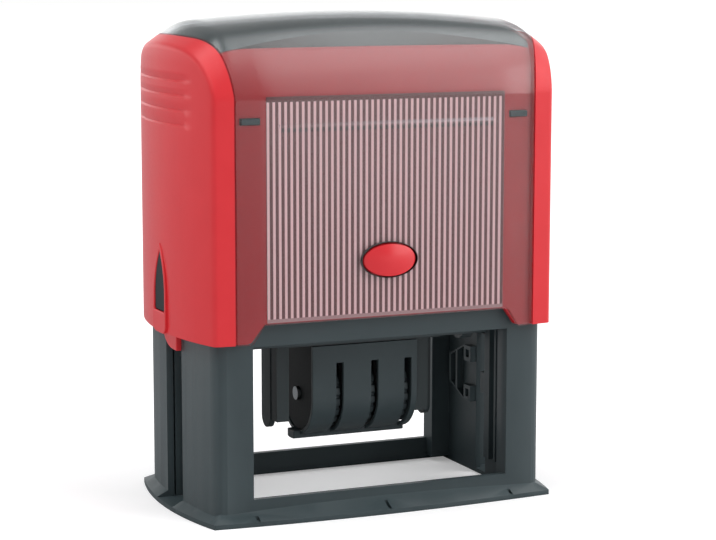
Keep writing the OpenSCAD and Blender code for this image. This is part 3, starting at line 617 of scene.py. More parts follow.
def settle(thing):
    """Turns what an object's modifiers make into its own mesh."""
    depsgraph = bpy.context.evaluated_depsgraph_get()
    mesh = bpy.data.meshes.new_from_object(thing.evaluated_get(depsgraph))
    thing.modifiers.clear()
    thing.data = mesh


def cut(thing, *cutters):
    """Cuts closed bmeshes, modelled in millimetres, out of an object."""
    tools = []
    for number, bm in enumerate(cutters):
        bmesh.ops.recalc_face_normals(bm, faces=bm.faces)
        tools.append(fresh_object(bm, f"cutter_{number}"))
        modifier = thing.modifiers.new(f"cut_{number}", "BOOLEAN")
        modifier.operation = "DIFFERENCE"
        modifier.solver = "EXACT"
        modifier.object = tools[-1]
    settle(thing)
    for tool in tools:
        bpy.data.objects.remove(tool)


def finish_piece(thing, body, slot, material, *nodes, sharp=35, edge=0, edge_from=None):
    """Shades a piece, softens its edges and lets it ride on its body."""
    thing.data.shade_smooth()
    thing.data.set_sharp_from_angle(angle=math.radians(sharp))
    thing.data.materials.clear()
    thing.data.materials.append(material)
    if edge:
        bevel = thing.modifiers.new("soft_edges", "BEVEL")
        bevel.width = edge * MM
        bevel.segments = 2
        bevel.limit_method = "ANGLE"
        bevel.angle_limit = math.radians(edge_from or sharp)
        bevel.harden_normals = True
    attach(thing, body)
    if nodes:
        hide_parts(*nodes)
    return thing


# Form of the cap


def arc_centre(head, foot, radius):
    """Centre of an arc from head down to foot that bulges outwards."""
    run = foot - head
    rise = math.sqrt(radius**2 - run.length_squared / 4)
    return (head + foot) / 2 + rise / run.length * Vector((run.y, -run.x))


shoulder_head = Vector((PLATEAU_HALF, CROWN_Z + math.sqrt(CROWN_R**2 - PLATEAU_HALF**2)))
shoulder_foot = Vector((CAP_HALF_D, SHOULDER_Z))
shoulder_c = arc_centre(shoulder_head, shoulder_foot, SHOULDER_R)


def ramp(past, slope, ease):
    """Rise at a slope once past 0, eased in where it starts."""
    if past <= -ease:
        return 0
    if past < ease:
        return slope * (past + ease) ** 2 / (4 * ease)
    return slope * past


def facet_drop(x):
    """How far the sides have come in at x, past the flat of the card."""
    return ramp(abs(x) - FACET_START, FACET_SLOPE, FACET_ROUND)


def drop_at(row, x):
    """How far the form has come in at x: by a slight facet on the sides, by the bevel on the crown."""
    t = min(max(row - 1, 0), 1)
    share = t * t * (3 - 2 * t)
    bevel = ramp(abs(x) - BEVEL_START, BEVEL_SLOPE, BEVEL_ROUND)
    return facet_drop(x) * (1 - share) + bevel * share


def lower_edge(x):
    """Height of the cap's lower edge, which is raised in the middle."""
    share = (ARCH_FOOT_HALF - abs(x)) / (ARCH_FOOT_HALF - ARCH_TOP_HALF)
    return CAP_BOTTOM + (ARCH_Z - CAP_BOTTOM) * min(max(share, 0), 1)


def split_x(y):
    """Bowed line between the cover and a red end."""
    return COVER_HALF - SPLIT_R + math.sqrt(SPLIT_R**2 - y**2)


def end_x(y):
    """Bowed face of a red end."""
    return CAP_HALF_W - END_R + math.sqrt(END_R**2 - y**2)


def panel_limit(y):
    """Bowed end of the red panel, a little way inside a red end."""
    return split_x(y) + PANEL_PAST


def over_shoulder(row, crown):
    """Point and outward normal on the shoulder and the crown, with a soft bend where they meet."""
    to_shoulder = shoulder_c - Vector((0, CROWN_Z))
    gap = to_shoulder.length
    way = to_shoulder / gap
    along = (crown**2 - SHOULDER_R**2 + gap**2) / (2 * gap)
    aside = math.sqrt(crown**2 - along**2)
    head = along * way + aside * Vector((way.y, -way.x))
    foot_angle = math.asin((SHOULDER_Z - shoulder_c.y) / SHOULDER_R)
    bend_angle = math.atan2(head.y - to_shoulder.y, head.x - to_shoulder.x) - BEND / SHOULDER_R
    crown_angle = math.acos(head.x / crown) + BEND / crown
    if row <= BEND_START:
        share = (row - 1) / (BEND_START - 1)
        angle = foot_angle + (bend_angle - foot_angle) * share
        normal = Vector((math.cos(angle), math.sin(angle)))
        lean = angle * min(share / FOOT_BLEND, 1)
        return shoulder_c + SHOULDER_R * normal, Vector((math.cos(lean), math.sin(lean)))
    if row >= BEND_END:
        share = (row - BEND_END) / (3 - BEND_END)
        angle = crown_angle + (math.pi / 2 - crown_angle) * share
        normal = Vector((math.cos(angle), math.sin(angle)))
        return Vector((0, CROWN_Z)) + crown * normal, normal
    one = Vector((math.cos(bend_angle), math.sin(bend_angle)))
    other = Vector((math.cos(crown_angle), math.sin(crown_angle)))
    start = shoulder_c + SHOULDER_R * one
    stop = Vector((0, CROWN_Z)) + crown * other
    turn = crown_angle - bend_angle
    reach = (stop - start).dot(other) / math.sin(turn)
    pull = start - abs(reach) * Vector((one.y, -one.x))
    t = (row - BEND_START) / (BEND_END - BEND_START)
    angle = bend_angle + turn * t
    point = (1 - t) ** 2 * start + 2 * t * (1 - t) * pull + t**2 * stop
    return point, Vector((math.cos(angle), math.sin(angle)))


def arch_point(row, x, inset=0.0, low=CAP_BOTTOM):
    """Half section of the cap at x as (y, z) and its outward normal.

    The row runs from 0 to 1 up the side, to 2 round the shoulder and to 3 over the crown.
    """
    come_in = inset + drop_at(row, x)
    if row < 1:
        return Vector((CAP_HALF_D - come_in, low + (SHOULDER_Z - low) * row)), Vector((1, 0))
    run = min(abs(x), BEVEL_START)
    crown = CROWN_R - CROWN_RUN_R + math.sqrt(CROWN_RUN_R**2 - run**2)
    point, normal = over_shoulder(row, crown)
    return point - come_in * normal, normal


def meet(row, limit, inset=0.0):
    """x at which a row of the cap's form runs into an upright bowed surface."""
    x = limit(0)
    for _ in range(MEET_ROUNDS):
        x = limit(arch_point(row, x, inset)[0].x)
    return x


def half_rows():
    """Rows of the form from the lower edge to the top of the crown."""
    rows = list(SIDE_ROWS)
    rows += [1 + i / SHOULDER_STEPS for i in range(SHOULDER_STEPS)]
    return rows + [2 + i / CROWN_STEPS for i in range(CROWN_STEPS + 1)]


def stations_across():
    """Shares of the cover's half length at which its form is drawn, from left to right."""
    shares = [x / FACE_STATIONS[-1] for x in FACE_STATIONS]
    return [-s for s in reversed(shares[1:])] + shares


def over_arch(half):
    """Points (x, y, z) of the front half, from the lower edge to the crown, and on down the back."""
    front = [Vector((x, -y, z)) for x, y, z in half]
    back = [Vector((x, y, z)) for x, y, z in reversed(half[:-1])]
    return front + back


def oval(bm, y, half_w, half_h):
    """Closed oval chain in the plane at y, round the middle of the button."""
    turn = [math.tau * i / OVAL_STEPS for i in range(OVAL_STEPS)]
    points = [(half_w * math.cos(a), y, BUTTON_Z + half_h * math.sin(a)) for a in turn]
    return chain(bm, points, closed=True)


def oval_cutter(side, room):
    """Oval bar through the front or the back, to cut the way for a button."""
    bm = bmesh.new()
    near = oval(bm, side * (CAP_HALF_D + OVAL_PAST), BUTTON_HALF_W + room, BUTTON_HALF_H + room)
    far = oval(bm, side * (CAP_HALF_D - CUT_IN), BUTTON_HALF_W + room, BUTTON_HALF_H + room)
    loft(bm, [near, far])
    bmesh.ops.holes_fill(bm, edges=near + far)
    return bm


def bar_cutter(low, high):
    """Plain bar between two corners, to cut with."""
    bm = bmesh.new()
    bmesh.ops.create_cube(bm, size=1)
    size = Vector(high) - Vector(low)
    bmesh.ops.scale(bm, vec=size, verts=bm.verts)
    bmesh.ops.translate(bm, vec=(Vector(low) + Vector(high)) / 2, verts=bm.verts)
    return bm


def tray_way():
    """Way out for the pad tray and its lower flanges, under the cap's lower edge at the back."""
    flange_half = tray_high.x + TRAY_GAP
    flange_top = tray_high.z - TRAY_STEP
    bars = []
    for half, top in ((ARCH_TOP_HALF, tray_high.z), (flange_half, flange_top)):
        low = (-half, tray_high.y, tray_low.z)
        high = (half, CAP_HALF_D + TRAY_GAP, top + TRAY_GAP)
        bars.append(bar_cutter(low, high))
    return bars


# Red ends of the cap


def on_end(point):
    """Point of the bowed end face at (y, z)."""
    return Vector((end_x(point.x), point.x, point.y))


def red_end(bm):
    """One end of the cap, at +X: bevelled arch, soft crease and bowed end face."""
    rows = half_rows()
    starts = [meet(row, split_x) + SPLIT_GAP for row in rows]
    corners = [meet(row, end_x) for row in rows]
    stations = []
    for i in range(END_STATIONS + 1):
        half = []
        for row, start, corner in zip(rows, starts, corners):
            reach = corner - CREASE * math.cos(math.atan(BEVEL_SLOPE))
            x = start + (max(reach, start) - start) * i / END_STATIONS
            point, _ = arch_point(row, x)
            half.append((x, point.x, point.y))
        stations.append(half)
    creases = [[] for _ in range(CREASE_STEPS)]
    for row, corner, before in zip(rows, corners, stations[-1]):
        point, normal = arch_point(row, corner)
        tip = Vector((corner, point.x, point.y))
        after = on_end(point - CREASE * normal)
        for i, half in enumerate(creases):
            t = (i + 1) / CREASE_STEPS
            half.append((1 - t) ** 2 * Vector(before) + 2 * t * (1 - t) * tip + t**2 * after)
    loft(bm, [chain(bm, over_arch(half)) for half in stations + creases])
    rim = creases[-1]
    top = [p for row, p in zip(rows, rim) if row >= TOP_ROW]
    ring = over_arch(top)
    shares = [p.y / ring[0].y for p in ring]
    across = []
    for row, point in zip(rows, rim):
        if row > TOP_ROW:
            break
        across.append([Vector((end_x(point.y * s), -point.y * s, point.z)) for s in shares])
    last = [Vector((end_x(p.y), p.y, ring[0].z)) for p in ring]
    loft(bm, [chain(bm, points) for points in across + [last, ring]])
    bmesh.ops.remove_doubles(bm, verts=bm.verts, dist=WELD)


def is_end_face(face):
    """Whether a face lies on the bowed end face at +X."""
    middle = face.calc_center_median()
    return abs(middle.x - end_x(middle.y)) < FACE_NEAR


def grip_lines(bm):
    """Presses fine grip ledges into the end face at +X, which fade out to the front and the back."""
    lines = [GRIP_TOP - i * GRIP_PITCH for i in range(GRIPS)]
    cuts = [((0, 0, z + up), (0, 0, 1)) for z in lines for up in (GRIP_SLOPE, 0, -GRIP_LEDGE)]
    ends = (GRIP_FRONT, GRIP_FRONT + GRIP_FADE, GRIP_BACK - GRIP_FADE, GRIP_BACK)
    cuts += [((0, y, 0), (0, 1, 0)) for y in ends]
    for spot, way in cuts:
        faces = [f for f in bm.faces if is_end_face(f)]
        edges = list({e for f in faces for e in f.edges})
        verts = list({v for f in faces for v in f.verts})
        bmesh.ops.bisect_plane(
            bm, geom=verts + edges + faces, dist=BISECT_SNAP, plane_co=spot, plane_no=way
        )
    for v in bm.verts:
        if abs(v.co.x - end_x(v.co.y)) > POINT_NEAR:
            continue
        reach = min(v.co.y - GRIP_FRONT, GRIP_BACK - v.co.y) / GRIP_FADE
        depth = GRIP_D * min(max(reach, 0), 1)
        for z in lines:
            over = v.co.z - z
            share = 1 - over / GRIP_SLOPE if over >= 0 else 1 + over / GRIP_LEDGE
            v.co.x -= depth * max(share, 0)


def ogive(x, half, low, straight, point, corner):
    """Pointed outline in the plane at x: a foot with round corners, and sides curved in to a point."""
    radius = (point**2 + half**2) / (2 * half)
    sweep = math.asin(point / radius)
    angles = [sweep * i / OGIVE_STEPS for i in range(OGIVE_STEPS + 1)]
    rounds = [math.pi / 2 * i / CORNER_STEPS for i in range(CORNER_STEPS + 1)]
    right = [(half - corner * (1 - math.sin(a)), low + corner * (1 - math.cos(a))) for a in rounds]
    right += [
        (half - radius * (1 - math.cos(a)), low + straight + radius * math.sin(a)) for a in angles
    ]
    left = [(-y, z) for y, z in reversed(right[:-1])]
    return [Vector((x, y, z)) for y, z in right + left]


def end_boss(bm):
    """Raised boss round the pointed slot at +X."""
    inner = CAP_HALF_W - END_WALL + BOSS_SINK
    straight = OGIVE_Z + OGIVE_STRAIGHT - BOSS_Z
    outline = ogive(inner, BOSS_HALF, BOSS_Z, straight, OGIVE_POINT + BOSS_RISE, BOSS_CORNER)
    prism(bm, outline, (CAP_HALF_W + BOSS_OUT - inner, 0, 0))
    height = straight + OGIVE_POINT + BOSS_RISE
    for v in bm.verts:
        if v.co.x > CAP_HALF_W:
            v.co.x -= BOSS_TAPER * (v.co.z - BOSS_Z) / height


def guide_lug(bm):
    """Lug at +X that guides the cap in the frame's end slot, with a round corner at the back."""
    turn = [math.pi / 2 * i / OGIVE_STEPS for i in range(OGIVE_STEPS + 1)]
    run = 2 * LUG_HALF - LUG_FLAT
    outline = [(-LUG_HALF, OGIVE_Z), (-LUG_HALF, LUG_LOW)]
    for a in turn:
        y = LUG_FLAT - LUG_HALF + run * math.sin(a)
        outline.append((y, LUG_LOW + LUG_RISE * (1 - math.cos(a))))
    outline.append((LUG_HALF, OGIVE_Z))
    outer = CAP_HALF_W - END_WALL - LUG_GAP
    prism(bm, [Vector((LUG_IN, y, z)) for y, z in outline], (outer - LUG_IN, 0, 0))


def slot_cutters():
    """Bars of the pointed slot's shape through both ends."""
    for side in (-1, 1):
        bm = bmesh.new()
        start = side * LUG_IN
        outline = ogive(start, OGIVE_HALF, OGIVE_Z, OGIVE_STRAIGHT, OGIVE_POINT, SLOT_CORNER)
        prism(bm, outline, (side * (CAP_HALF_W + SLOT_PAST - LUG_IN), 0, 0))
        yield bm


def both_sides(bm):
    """Mirrors what was drawn at +X to -X."""
    bmesh.ops.mirror(
        bm,
        geom=bm.verts[:] + bm.edges[:] + bm.faces[:],
        matrix=Matrix.Identity(4),
        merge_dist=-1,
        axis="X",
    )
    bmesh.ops.recalc_face_normals(bm, faces=bm.faces)


def red_ends():
    """Both red ends with their slots, and the bosses and guide lugs on them."""
    bm = bmesh.new()
    red_end(bm)
    grip_lines(bm)
    both_sides(bm)
    ends = fresh_object(bm, "cap_ends")
    wall = ends.modifiers.new("wall", "SOLIDIFY")
    wall.thickness = END_WALL * MM
    wall.offset = -1
    settle(ends)
    cut(ends, *slot_cutters())
    finish_piece(
        ends, "cap", "red_plastic", red_plastic, "cap_body", sharp=26, edge=0.25, edge_from=65
    )
    bm = bmesh.new()
    end_boss(bm)
    guide_lug(bm)
    both_sides(bm)
    trim = fresh_object(bm, "cap_end_bosses")
    cut(trim, *slot_cutters())
    finish_piece(trim, "cap", "red_plastic", red_plastic, sharp=40, edge=0.4)


# Smoky cover, and what is seen through it


def nail_cutter(side):
    """Wedge with a slanting floor, to cut the groove for a fingernail."""
    bm = bmesh.new()
    face = side * CAP_HALF_D
    out = face + side * NAIL_PAST
    outline = [
        (out, NAIL_Z + NAIL_OVER),
        (face - side * NAIL_D, NAIL_Z + NAIL_OVER),
        (face, NAIL_Z - NAIL_UNDER),
        (out, NAIL_Z - NAIL_UNDER),
    ]
    prism(bm, [Vector((-NAIL_HALF_L, y, z)) for y, z in outline], (2 * NAIL_HALF_L, 0, 0))
    return bm


def smoky_cover():
    """See-through cover over the front, the crown and the back."""
    bm = bmesh.new()
    rows = half_rows()
    reaches = [meet(row, split_x) for row in rows]
    chains = []
    for share in stations_across():
        half = []
        for row, reach in zip(rows, reaches):
            x = share * reach
            point, _ = arch_point(row, x, low=lower_edge(x))
            half.append((x, point.x, point.y))
        chains.append(chain(bm, over_arch(half)))
    loft(bm, chains)
    thicken(bm, COVER_T)
    cover = fresh_object(bm, "smoky_window")
    cutters = tray_way()
    for side in (-1, 1):
        cutters.append(oval_cutter(side, BUTTON_GAP))
        cutters.append(nail_cutter(side))
    cut(cover, *cutters)
    finish_piece(cover, "cap", "smoky_plastic", smoky, "smoky_cover", sharp=40)


def button_shade_rims():
    """Cut edges of the cover round the buttons, as thin dark rings: the smoke seen along the sheet,
    darkened further as painted shade of the gap round each button.
    """
    bm = bmesh.new()
    front = CAP_HALF_D - RIM_OUT
    back = CAP_HALF_D - COVER_T + RIM_OUT
    for side in (-1, 1):
        loops = []
        for depth, room in ((front, RIM_OUT), (front, -RIM_IN), (back, -RIM_IN), (back, RIM_OUT)):
            wide = BUTTON_GAP + room
            loops.append(oval(bm, side * depth, BUTTON_HALF_W + wide, BUTTON_HALF_H + wide))
        loft(bm, loops, closed=True)
    bmesh.ops.recalc_face_normals(bm, faces=bm.faces)
    rims = fresh_object(bm, "button_shade_rims")
    # Painted shade: the rings take a nearly black finish
    finish_piece(rims, "cap", "smoky_plastic", rim_shade, sharp=40)


def panel_half(share):
    """Half section of the red panel: side, shoulder, and a flat roof with a soft edge."""
    half = []
    for row in SIDE_ROWS:
        x = share * meet(row, panel_limit, PANEL_INSET)
        point, _ = arch_point(row, x, PANEL_INSET, lower_edge(x))
        half.append((x, point.x, point.y))
    x = share * panel_limit(ROOF_Y)
    radius = SHOULDER_R - PANEL_INSET - facet_drop(x)
    foot = math.asin((SHOULDER_Z - shoulder_c.y) / radius)
    head = math.asin((ROOF_Z - ROOF_EDGE - shoulder_c.y) / radius)
    for i in range(SHOULDER_STEPS + 1):
        a = foot + (head - foot) * i / SHOULDER_STEPS
        half.append((x, shoulder_c.x + radius * math.cos(a), shoulder_c.y + radius * math.sin(a)))
    edge = Vector(half[-1])
    corner = edge + Vector((0, -ROOF_EDGE, ROOF_Z - edge.z))
    inner = corner + Vector((0, -ROOF_ROUND, 0))
    for i in range(1, ROOF_STEPS + 1):
        t = i / ROOF_STEPS
        half.append((1 - t) ** 2 * edge + 2 * t * (1 - t) * corner + t**2 * inner)
    return half + [(x, 0, ROOF_Z)]


def red_panel():
    """Red inner cap that shows through the cover."""
    bm = bmesh.new()
    loft(bm, [chain(bm, over_arch(panel_half(share))) for share in stations_across()])
    thicken(bm, PANEL_T)
    panel = fresh_object(bm, "cap_panel")
    half_l = HOOK_HALF_L + HOOK_ROOM
    half_h = HOOK_HALF_H + HOOK_ROOM
    cutters = tray_way()
    for side in (-1, 1):
        cutters.append(oval_cutter(side, FLANGE + FLANGE_ROOM))
        depths = sorted((side * CAP_HALF_D, side * (CAP_HALF_D - CUT_IN)))
        for x in (-HOOK_X, HOOK_X):
            low = (x - half_l, depths[0], HOOK_Z - half_h)
            high = (x + half_l, depths[1], HOOK_Z + half_h)
            cutters.append(bar_cutter(low, high))
    cut(panel, *cutters)
    finish_piece(panel, "cap", "red_plastic", panel_plastic, sharp=40)


def crown_shade_sheet():
    """Dark grey sheet on the panel's roof, close under the cover, as painted shade inside the cap's
    crown.
    """
    bm = bmesh.new()
    rows = [row for row in half_rows() if row >= CROWN_LIP]
    inset = COVER_T + CROWN_GAP
    chains = []
    for share in stations_across():
        spot = Vector(panel_half(share)[-2])
        half = [(spot.x, spot.y - ROOF_PLATE_GAP, ROOF_Z - PANEL_T)]
        for row in rows:
            x = share * meet(row, split_x, inset)
            point, _ = arch_point(row, x, inset)
            half.append((x, point.x, point.y))
        chains.append(chain(bm, over_arch(half)))
    loft(bm, chains)
    thicken(bm, CROWN_T)
    crown = fresh_object(bm, "crown_shade_sheet")
    finish_piece(crown, "cap", "frame_plastic", frame_plastic, sharp=30)


def cover_hooks():
    """Snap hooks that hold the cover in the panel's slots, in the frame's opaque dark grey: the smoke
    seen through their thickness, darkened further as painted shade of the deep slots.
    """
    bm = bmesh.new()
    inner = CAP_HALF_D - COVER_T
    for side in (-1, 1):
        for x in (-HOOK_X, HOOK_X):
            hook = bmesh.ops.create_cube(bm, size=1)["verts"]
            bmesh.ops.scale(bm, vec=(2 * HOOK_HALF_L, HOOK_DEEP, 2 * HOOK_HALF_H), verts=hook)
            middle = side * (inner - HOOK_DEEP / 2)
            bmesh.ops.translate(bm, vec=(x, middle, HOOK_Z), verts=hook)
    hooks = fresh_object(bm, "cover_hooks")
    # Painted shade: the hooks take the frame's opaque dark grey
    finish_piece(hooks, "cap", "smoky_plastic", frame_plastic, sharp=40, edge=0.2)


def printed_card(side, node):
    """Thin printed card between the panel and the cover, with a hole for the button."""
    bm = bmesh.new()
    low, high = box_mm(node)
    foot = CARD_EDGE + (ARCH_Z if side < 0 else tray_high.z + TRAY_GAP)
    corners = [(low.x, foot), (high.x, foot), (high.x, high.z), (low.x, high.z)]
    prism(bm, [Vector((x, low.y, z)) for x, z in corners], (0, high.y - low.y, 0))
    bmesh.ops.recalc_face_normals(bm, faces=bm.faces)
    card = fresh_object(bm, f"{node}_print")
    cut(card, oval_cutter(side, CARD_HOLE))
    finish_piece(card, "cap", "card", card_print, node)


def lock_button(side, body, node):
    """Domed oval button with its holding flange and locking stem."""
    bm = bmesh.new()
    low, high = box_mm(node)
    face = max(abs(low.y), abs(high.y))
    stem_end = min(abs(low.y), abs(high.y))
    flange_front = CAP_HALF_D - PANEL_INSET - FLANGE_GAP
    flange_back = flange_front - FLANGE_T
    flange_half_w = BUTTON_HALF_W + FLANGE
    flange_half_h = BUTTON_HALF_H + FLANGE
    loops = [
        oval(bm, side * stem_end, STEM_R, STEM_R),
        oval(bm, side * flange_back, STEM_R, STEM_R),
        oval(bm, side * flange_back, flange_half_w, flange_half_h),
        oval(bm, side * flange_front, flange_half_w, flange_half_h),
        oval(bm, side * flange_front, BUTTON_HALF_W, BUTTON_HALF_H),
    ]
    for share in DOME_SHARES:
        loop = oval(bm, 0, BUTTON_HALF_W * share, BUTTON_HALF_H * share)
        for v in {v for e in loop for v in e.verts}:
            off = math.hypot(v.co.x, v.co.z - BUTTON_Z)
            v.co.y = side * (face - BUTTON_DOME_R + math.sqrt(BUTTON_DOME_R**2 - off**2))
            if share == 1:
                v.co.y -= side * BUTTON_EDGE
        loops.append(loop)
    loft(bm, loops)
    bmesh.ops.holes_fill(bm, edges=loops[0] + loops[-1])
    bmesh.ops.recalc_face_normals(bm, faces=bm.faces)
    button = fresh_object(bm, f"{body}_dome")
    finish_piece(button, body, "red_plastic", button_plastic, node, sharp=50)


red_ends()
smoky_cover()
button_shade_rims()
red_panel()
crown_shade_sheet()
cover_hooks()
printed_card(-1, "front_card")
printed_card(1, "back_card")
lock_button(-1, "front_button", "front_lock_button")
lock_button(1, "back_button", "back_lock_button")


# Moulded pieces that keep the form of their solids, with soft edges

FLAT_ANGLE = 0.4
AXLE_OUT = 0.9
PLATE_NEAR = 0.2
FACING_LEFT = -0.9


def soft_copy(node, body, slot, material, edge):
    """Copy of a solid with its flat faces joined up and its sharp edges rounded."""
    bm = bmesh.new()
    bm.from_mesh(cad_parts[node].data)
    bmesh.ops.scale(bm, vec=(1 / MM, 1 / MM, 1 / MM), verts=bm.verts)
    bmesh.ops.remove_doubles(bm, verts=bm.verts, dist=COPY_WELD)
    bmesh.ops.dissolve_limit(
        bm,
        angle_limit=math.radians(FLAT_ANGLE),
        verts=bm.verts,
        edges=bm.edges,
        delimit=set(),
    )
    piece = fresh_object(bm, f"{node}_moulding")
    return finish_piece(piece, body, slot, material, node, sharp=32, edge=edge)


def paint_plate_shade(dater):
    """Paints shade on the dater's left side plate, round the end of the axle: its left-facing faces get
    a matt, nearly black material.
    """
    dater.data.materials.append(plate_shade_black)
    plate_x = (box_mm("wheel_axle")[0].x + AXLE_OUT) * MM
    for face in dater.data.polygons:
        if face.normal.x < FACING_LEFT and abs(face.center.x - plate_x) < PLATE_NEAR * MM:
            face.material_index = 1


soft_copy("base_frame", "frame", "frame_plastic", frame_plastic, edge=0.3)
soft_copy("pad_tray", "ink_cartridge", "frame_plastic", frame_plastic, edge=0.15)
# Painted shade: the yoke takes the darker grey of the slots' depth
soft_copy("lift_yoke", "cap", "frame_plastic", shaded_yoke_plastic, edge=0.25)
soft_copy("die_carriage", "carriage", "frame_plastic", frame_plastic, edge=0.2)
# Painted shade: the dater takes a darker copy of the frame's grey
dater = soft_copy("dater_frame", "carriage", "frame_plastic", shaded_dater_plastic, edge=0.25)
# Painted shade on the left side plate
paint_plate_shade(dater)
soft_copy("band_guard", "carriage", "frame_plastic", frame_plastic, edge=0.2)
for dial in ("day", "month", "year"):
    soft_copy(f"{dial}_wheel", f"{dial}_dial", "wheel_plastic", wheel_plastic, edge=0.1)


# Solids that are shown as they are


def repaint(node, material):
    """Gives a solid that keeps its form its finish."""
    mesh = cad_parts[node].data
    mesh.materials.clear()
    mesh.materials.append(material)


for name in ("text_die", "day_band", "month_band", "year_band"):
    repaint(name, die_rubber)
repaint("die_cushion", foam)
repaint("ink_pad", felt)
repaint("wheel_axle", dark_steel)
repaint("band_platen", frame_plastic)


# Return spring

SPRING_R = 11
SPRING_TURNS = 8
TURN_STEPS = 32
WIRE_R = 0.8
WIRE_SIDES = 12


def return_spring():
    """Round wire wound into the spring between the deck and the yoke."""
    bm = bmesh.new()
    wire = bmesh.ops.create_circle(bm, radius=WIRE_R, segments=WIRE_SIDES)["verts"]
    bmesh.ops.rotate(bm, verts=wire, cent=(0, 0, 0), matrix=Matrix.Rotation(math.pi / 2, 3, "X"))
    bmesh.ops.translate(bm, verts=wire, vec=(SPRING_R, 0, spring_low.z + WIRE_R))
    rise = spring_high.z - spring_low.z - 2 * WIRE_R
    steps = TURN_STEPS * SPRING_TURNS
    start = bm.edges[:]
    made = bmesh.ops.spin(
        bm,
        geom=bm.verts[:] + start,
        cent=(0, 0, 0),
        axis=(0, 0, 1),
        dvec=(0, 0, rise / steps),
        angle=math.tau * SPRING_TURNS,
        steps=steps,
    )["geom_last"]
    last = [g for g in made if isinstance(g, bmesh.types.BMEdge)]
    bmesh.ops.holes_fill(bm, edges=start + last)
    bmesh.ops.recalc_face_normals(bm, faces=bm.faces)
    spring = fresh_object(bm, "coil_spring")
    finish_piece(spring, "frame", "spring_steel", steel, "return_spring", sharp=60)
    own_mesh(spring)


return_spring()


# Floor and light

FLOOR_HALF = 6000
FLOOR_LIFT = 0.24
# Reach of the pool of light painted on the floor as it is seen in reflections
PAINTED_POOL_REACH = 500
AMBIENT = 0.5
DIM_ROOM = 0.5
BACKDROP = 0.95
SOFT_BOX = 2.0
BOX_GAP_X = 0.1
WINDOW = 2.4
WINDOW_WAY = (0.78, -0.6, 0.17)


def white_floor():
    """Plain white studio floor, which looks as white as the world behind it where no shadow falls. In
    reflections it is painted grey, with a painted pool of light that whitens it towards +X.
    """
    material, tree, output = new_material("studio_floor")
    path = add(tree, "ShaderNodeLightPath")
    seen = add(
        tree,
        "ShaderNodeMath",
        {0: path.outputs["Is Camera Ray"], 1: path.outputs["Is Transmission Ray"]},
        operation="MAXIMUM",
    ).outputs["Value"]
    lift = add(tree, "ShaderNodeMath", {0: seen, 1: FLOOR_LIFT}, operation="MULTIPLY")
    place = add(tree, "ShaderNodeTexCoord").outputs["Object"]
    along = add(tree, "ShaderNodeSeparateXYZ", {"Vector": place}).outputs["X"]
    painted_pool = add(tree, "ShaderNodeMapRange", {"Value": along, "From Max": PAINTED_POOL_REACH * MM})
    # Painted shade and pool of light: seen in reflections, the floor is grey at and left of the stamp
    # and whitens towards +X
    mirrored = add(
        tree,
        "ShaderNodeMix",
        {"Factor": painted_pool.outputs["Result"], "A": linear("#a0a0a2"), "B": linear("#ffffff")},
        data_type="RGBA",
    ).outputs["Result"]
    colour = add(
        tree,
        "ShaderNodeMix",
        {"Factor": path.outputs["Is Glossy Ray"], "A": linear("#f6f6f7"), "B": mirrored},
        data_type="RGBA",
    )
    shader = add(
        tree,
        "ShaderNodeBsdfPrincipled",
        {
            "Base Color": colour.outputs["Result"],
            "Roughness": 0.95,
            "Emission Color": linear("#ffffff"),
            "Emission Strength": lift.outputs["Value"],
        },
    )
    tree.links.new(shader.outputs["BSDF"], output.inputs["Surface"])
    bm = bmesh.new()
    bmesh.ops.create_grid(bm, x_segments=1, y_segments=1, size=FLOOR_HALF)
    floor = fresh_object(bm, "studio_floor")
    floor.data.materials.append(material)
    floor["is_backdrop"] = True


def soft_sun(name, heading, spread, strength):
    """Soft light from far away, from a heading in the part's frame, with a spread in degrees."""
    lamp = bpy.data.lights.new(name, "SUN")
    lamp.angle = math.radians(spread)
    lamp.energy = strength
    sun = bpy.data.objects.new(name, lamp)
    bpy.context.scene.collection.objects.link(sun)
    sun.rotation_euler = Vector(heading).to_track_quat("Z", "Y").to_euler()
    sun.visible_glossy = False


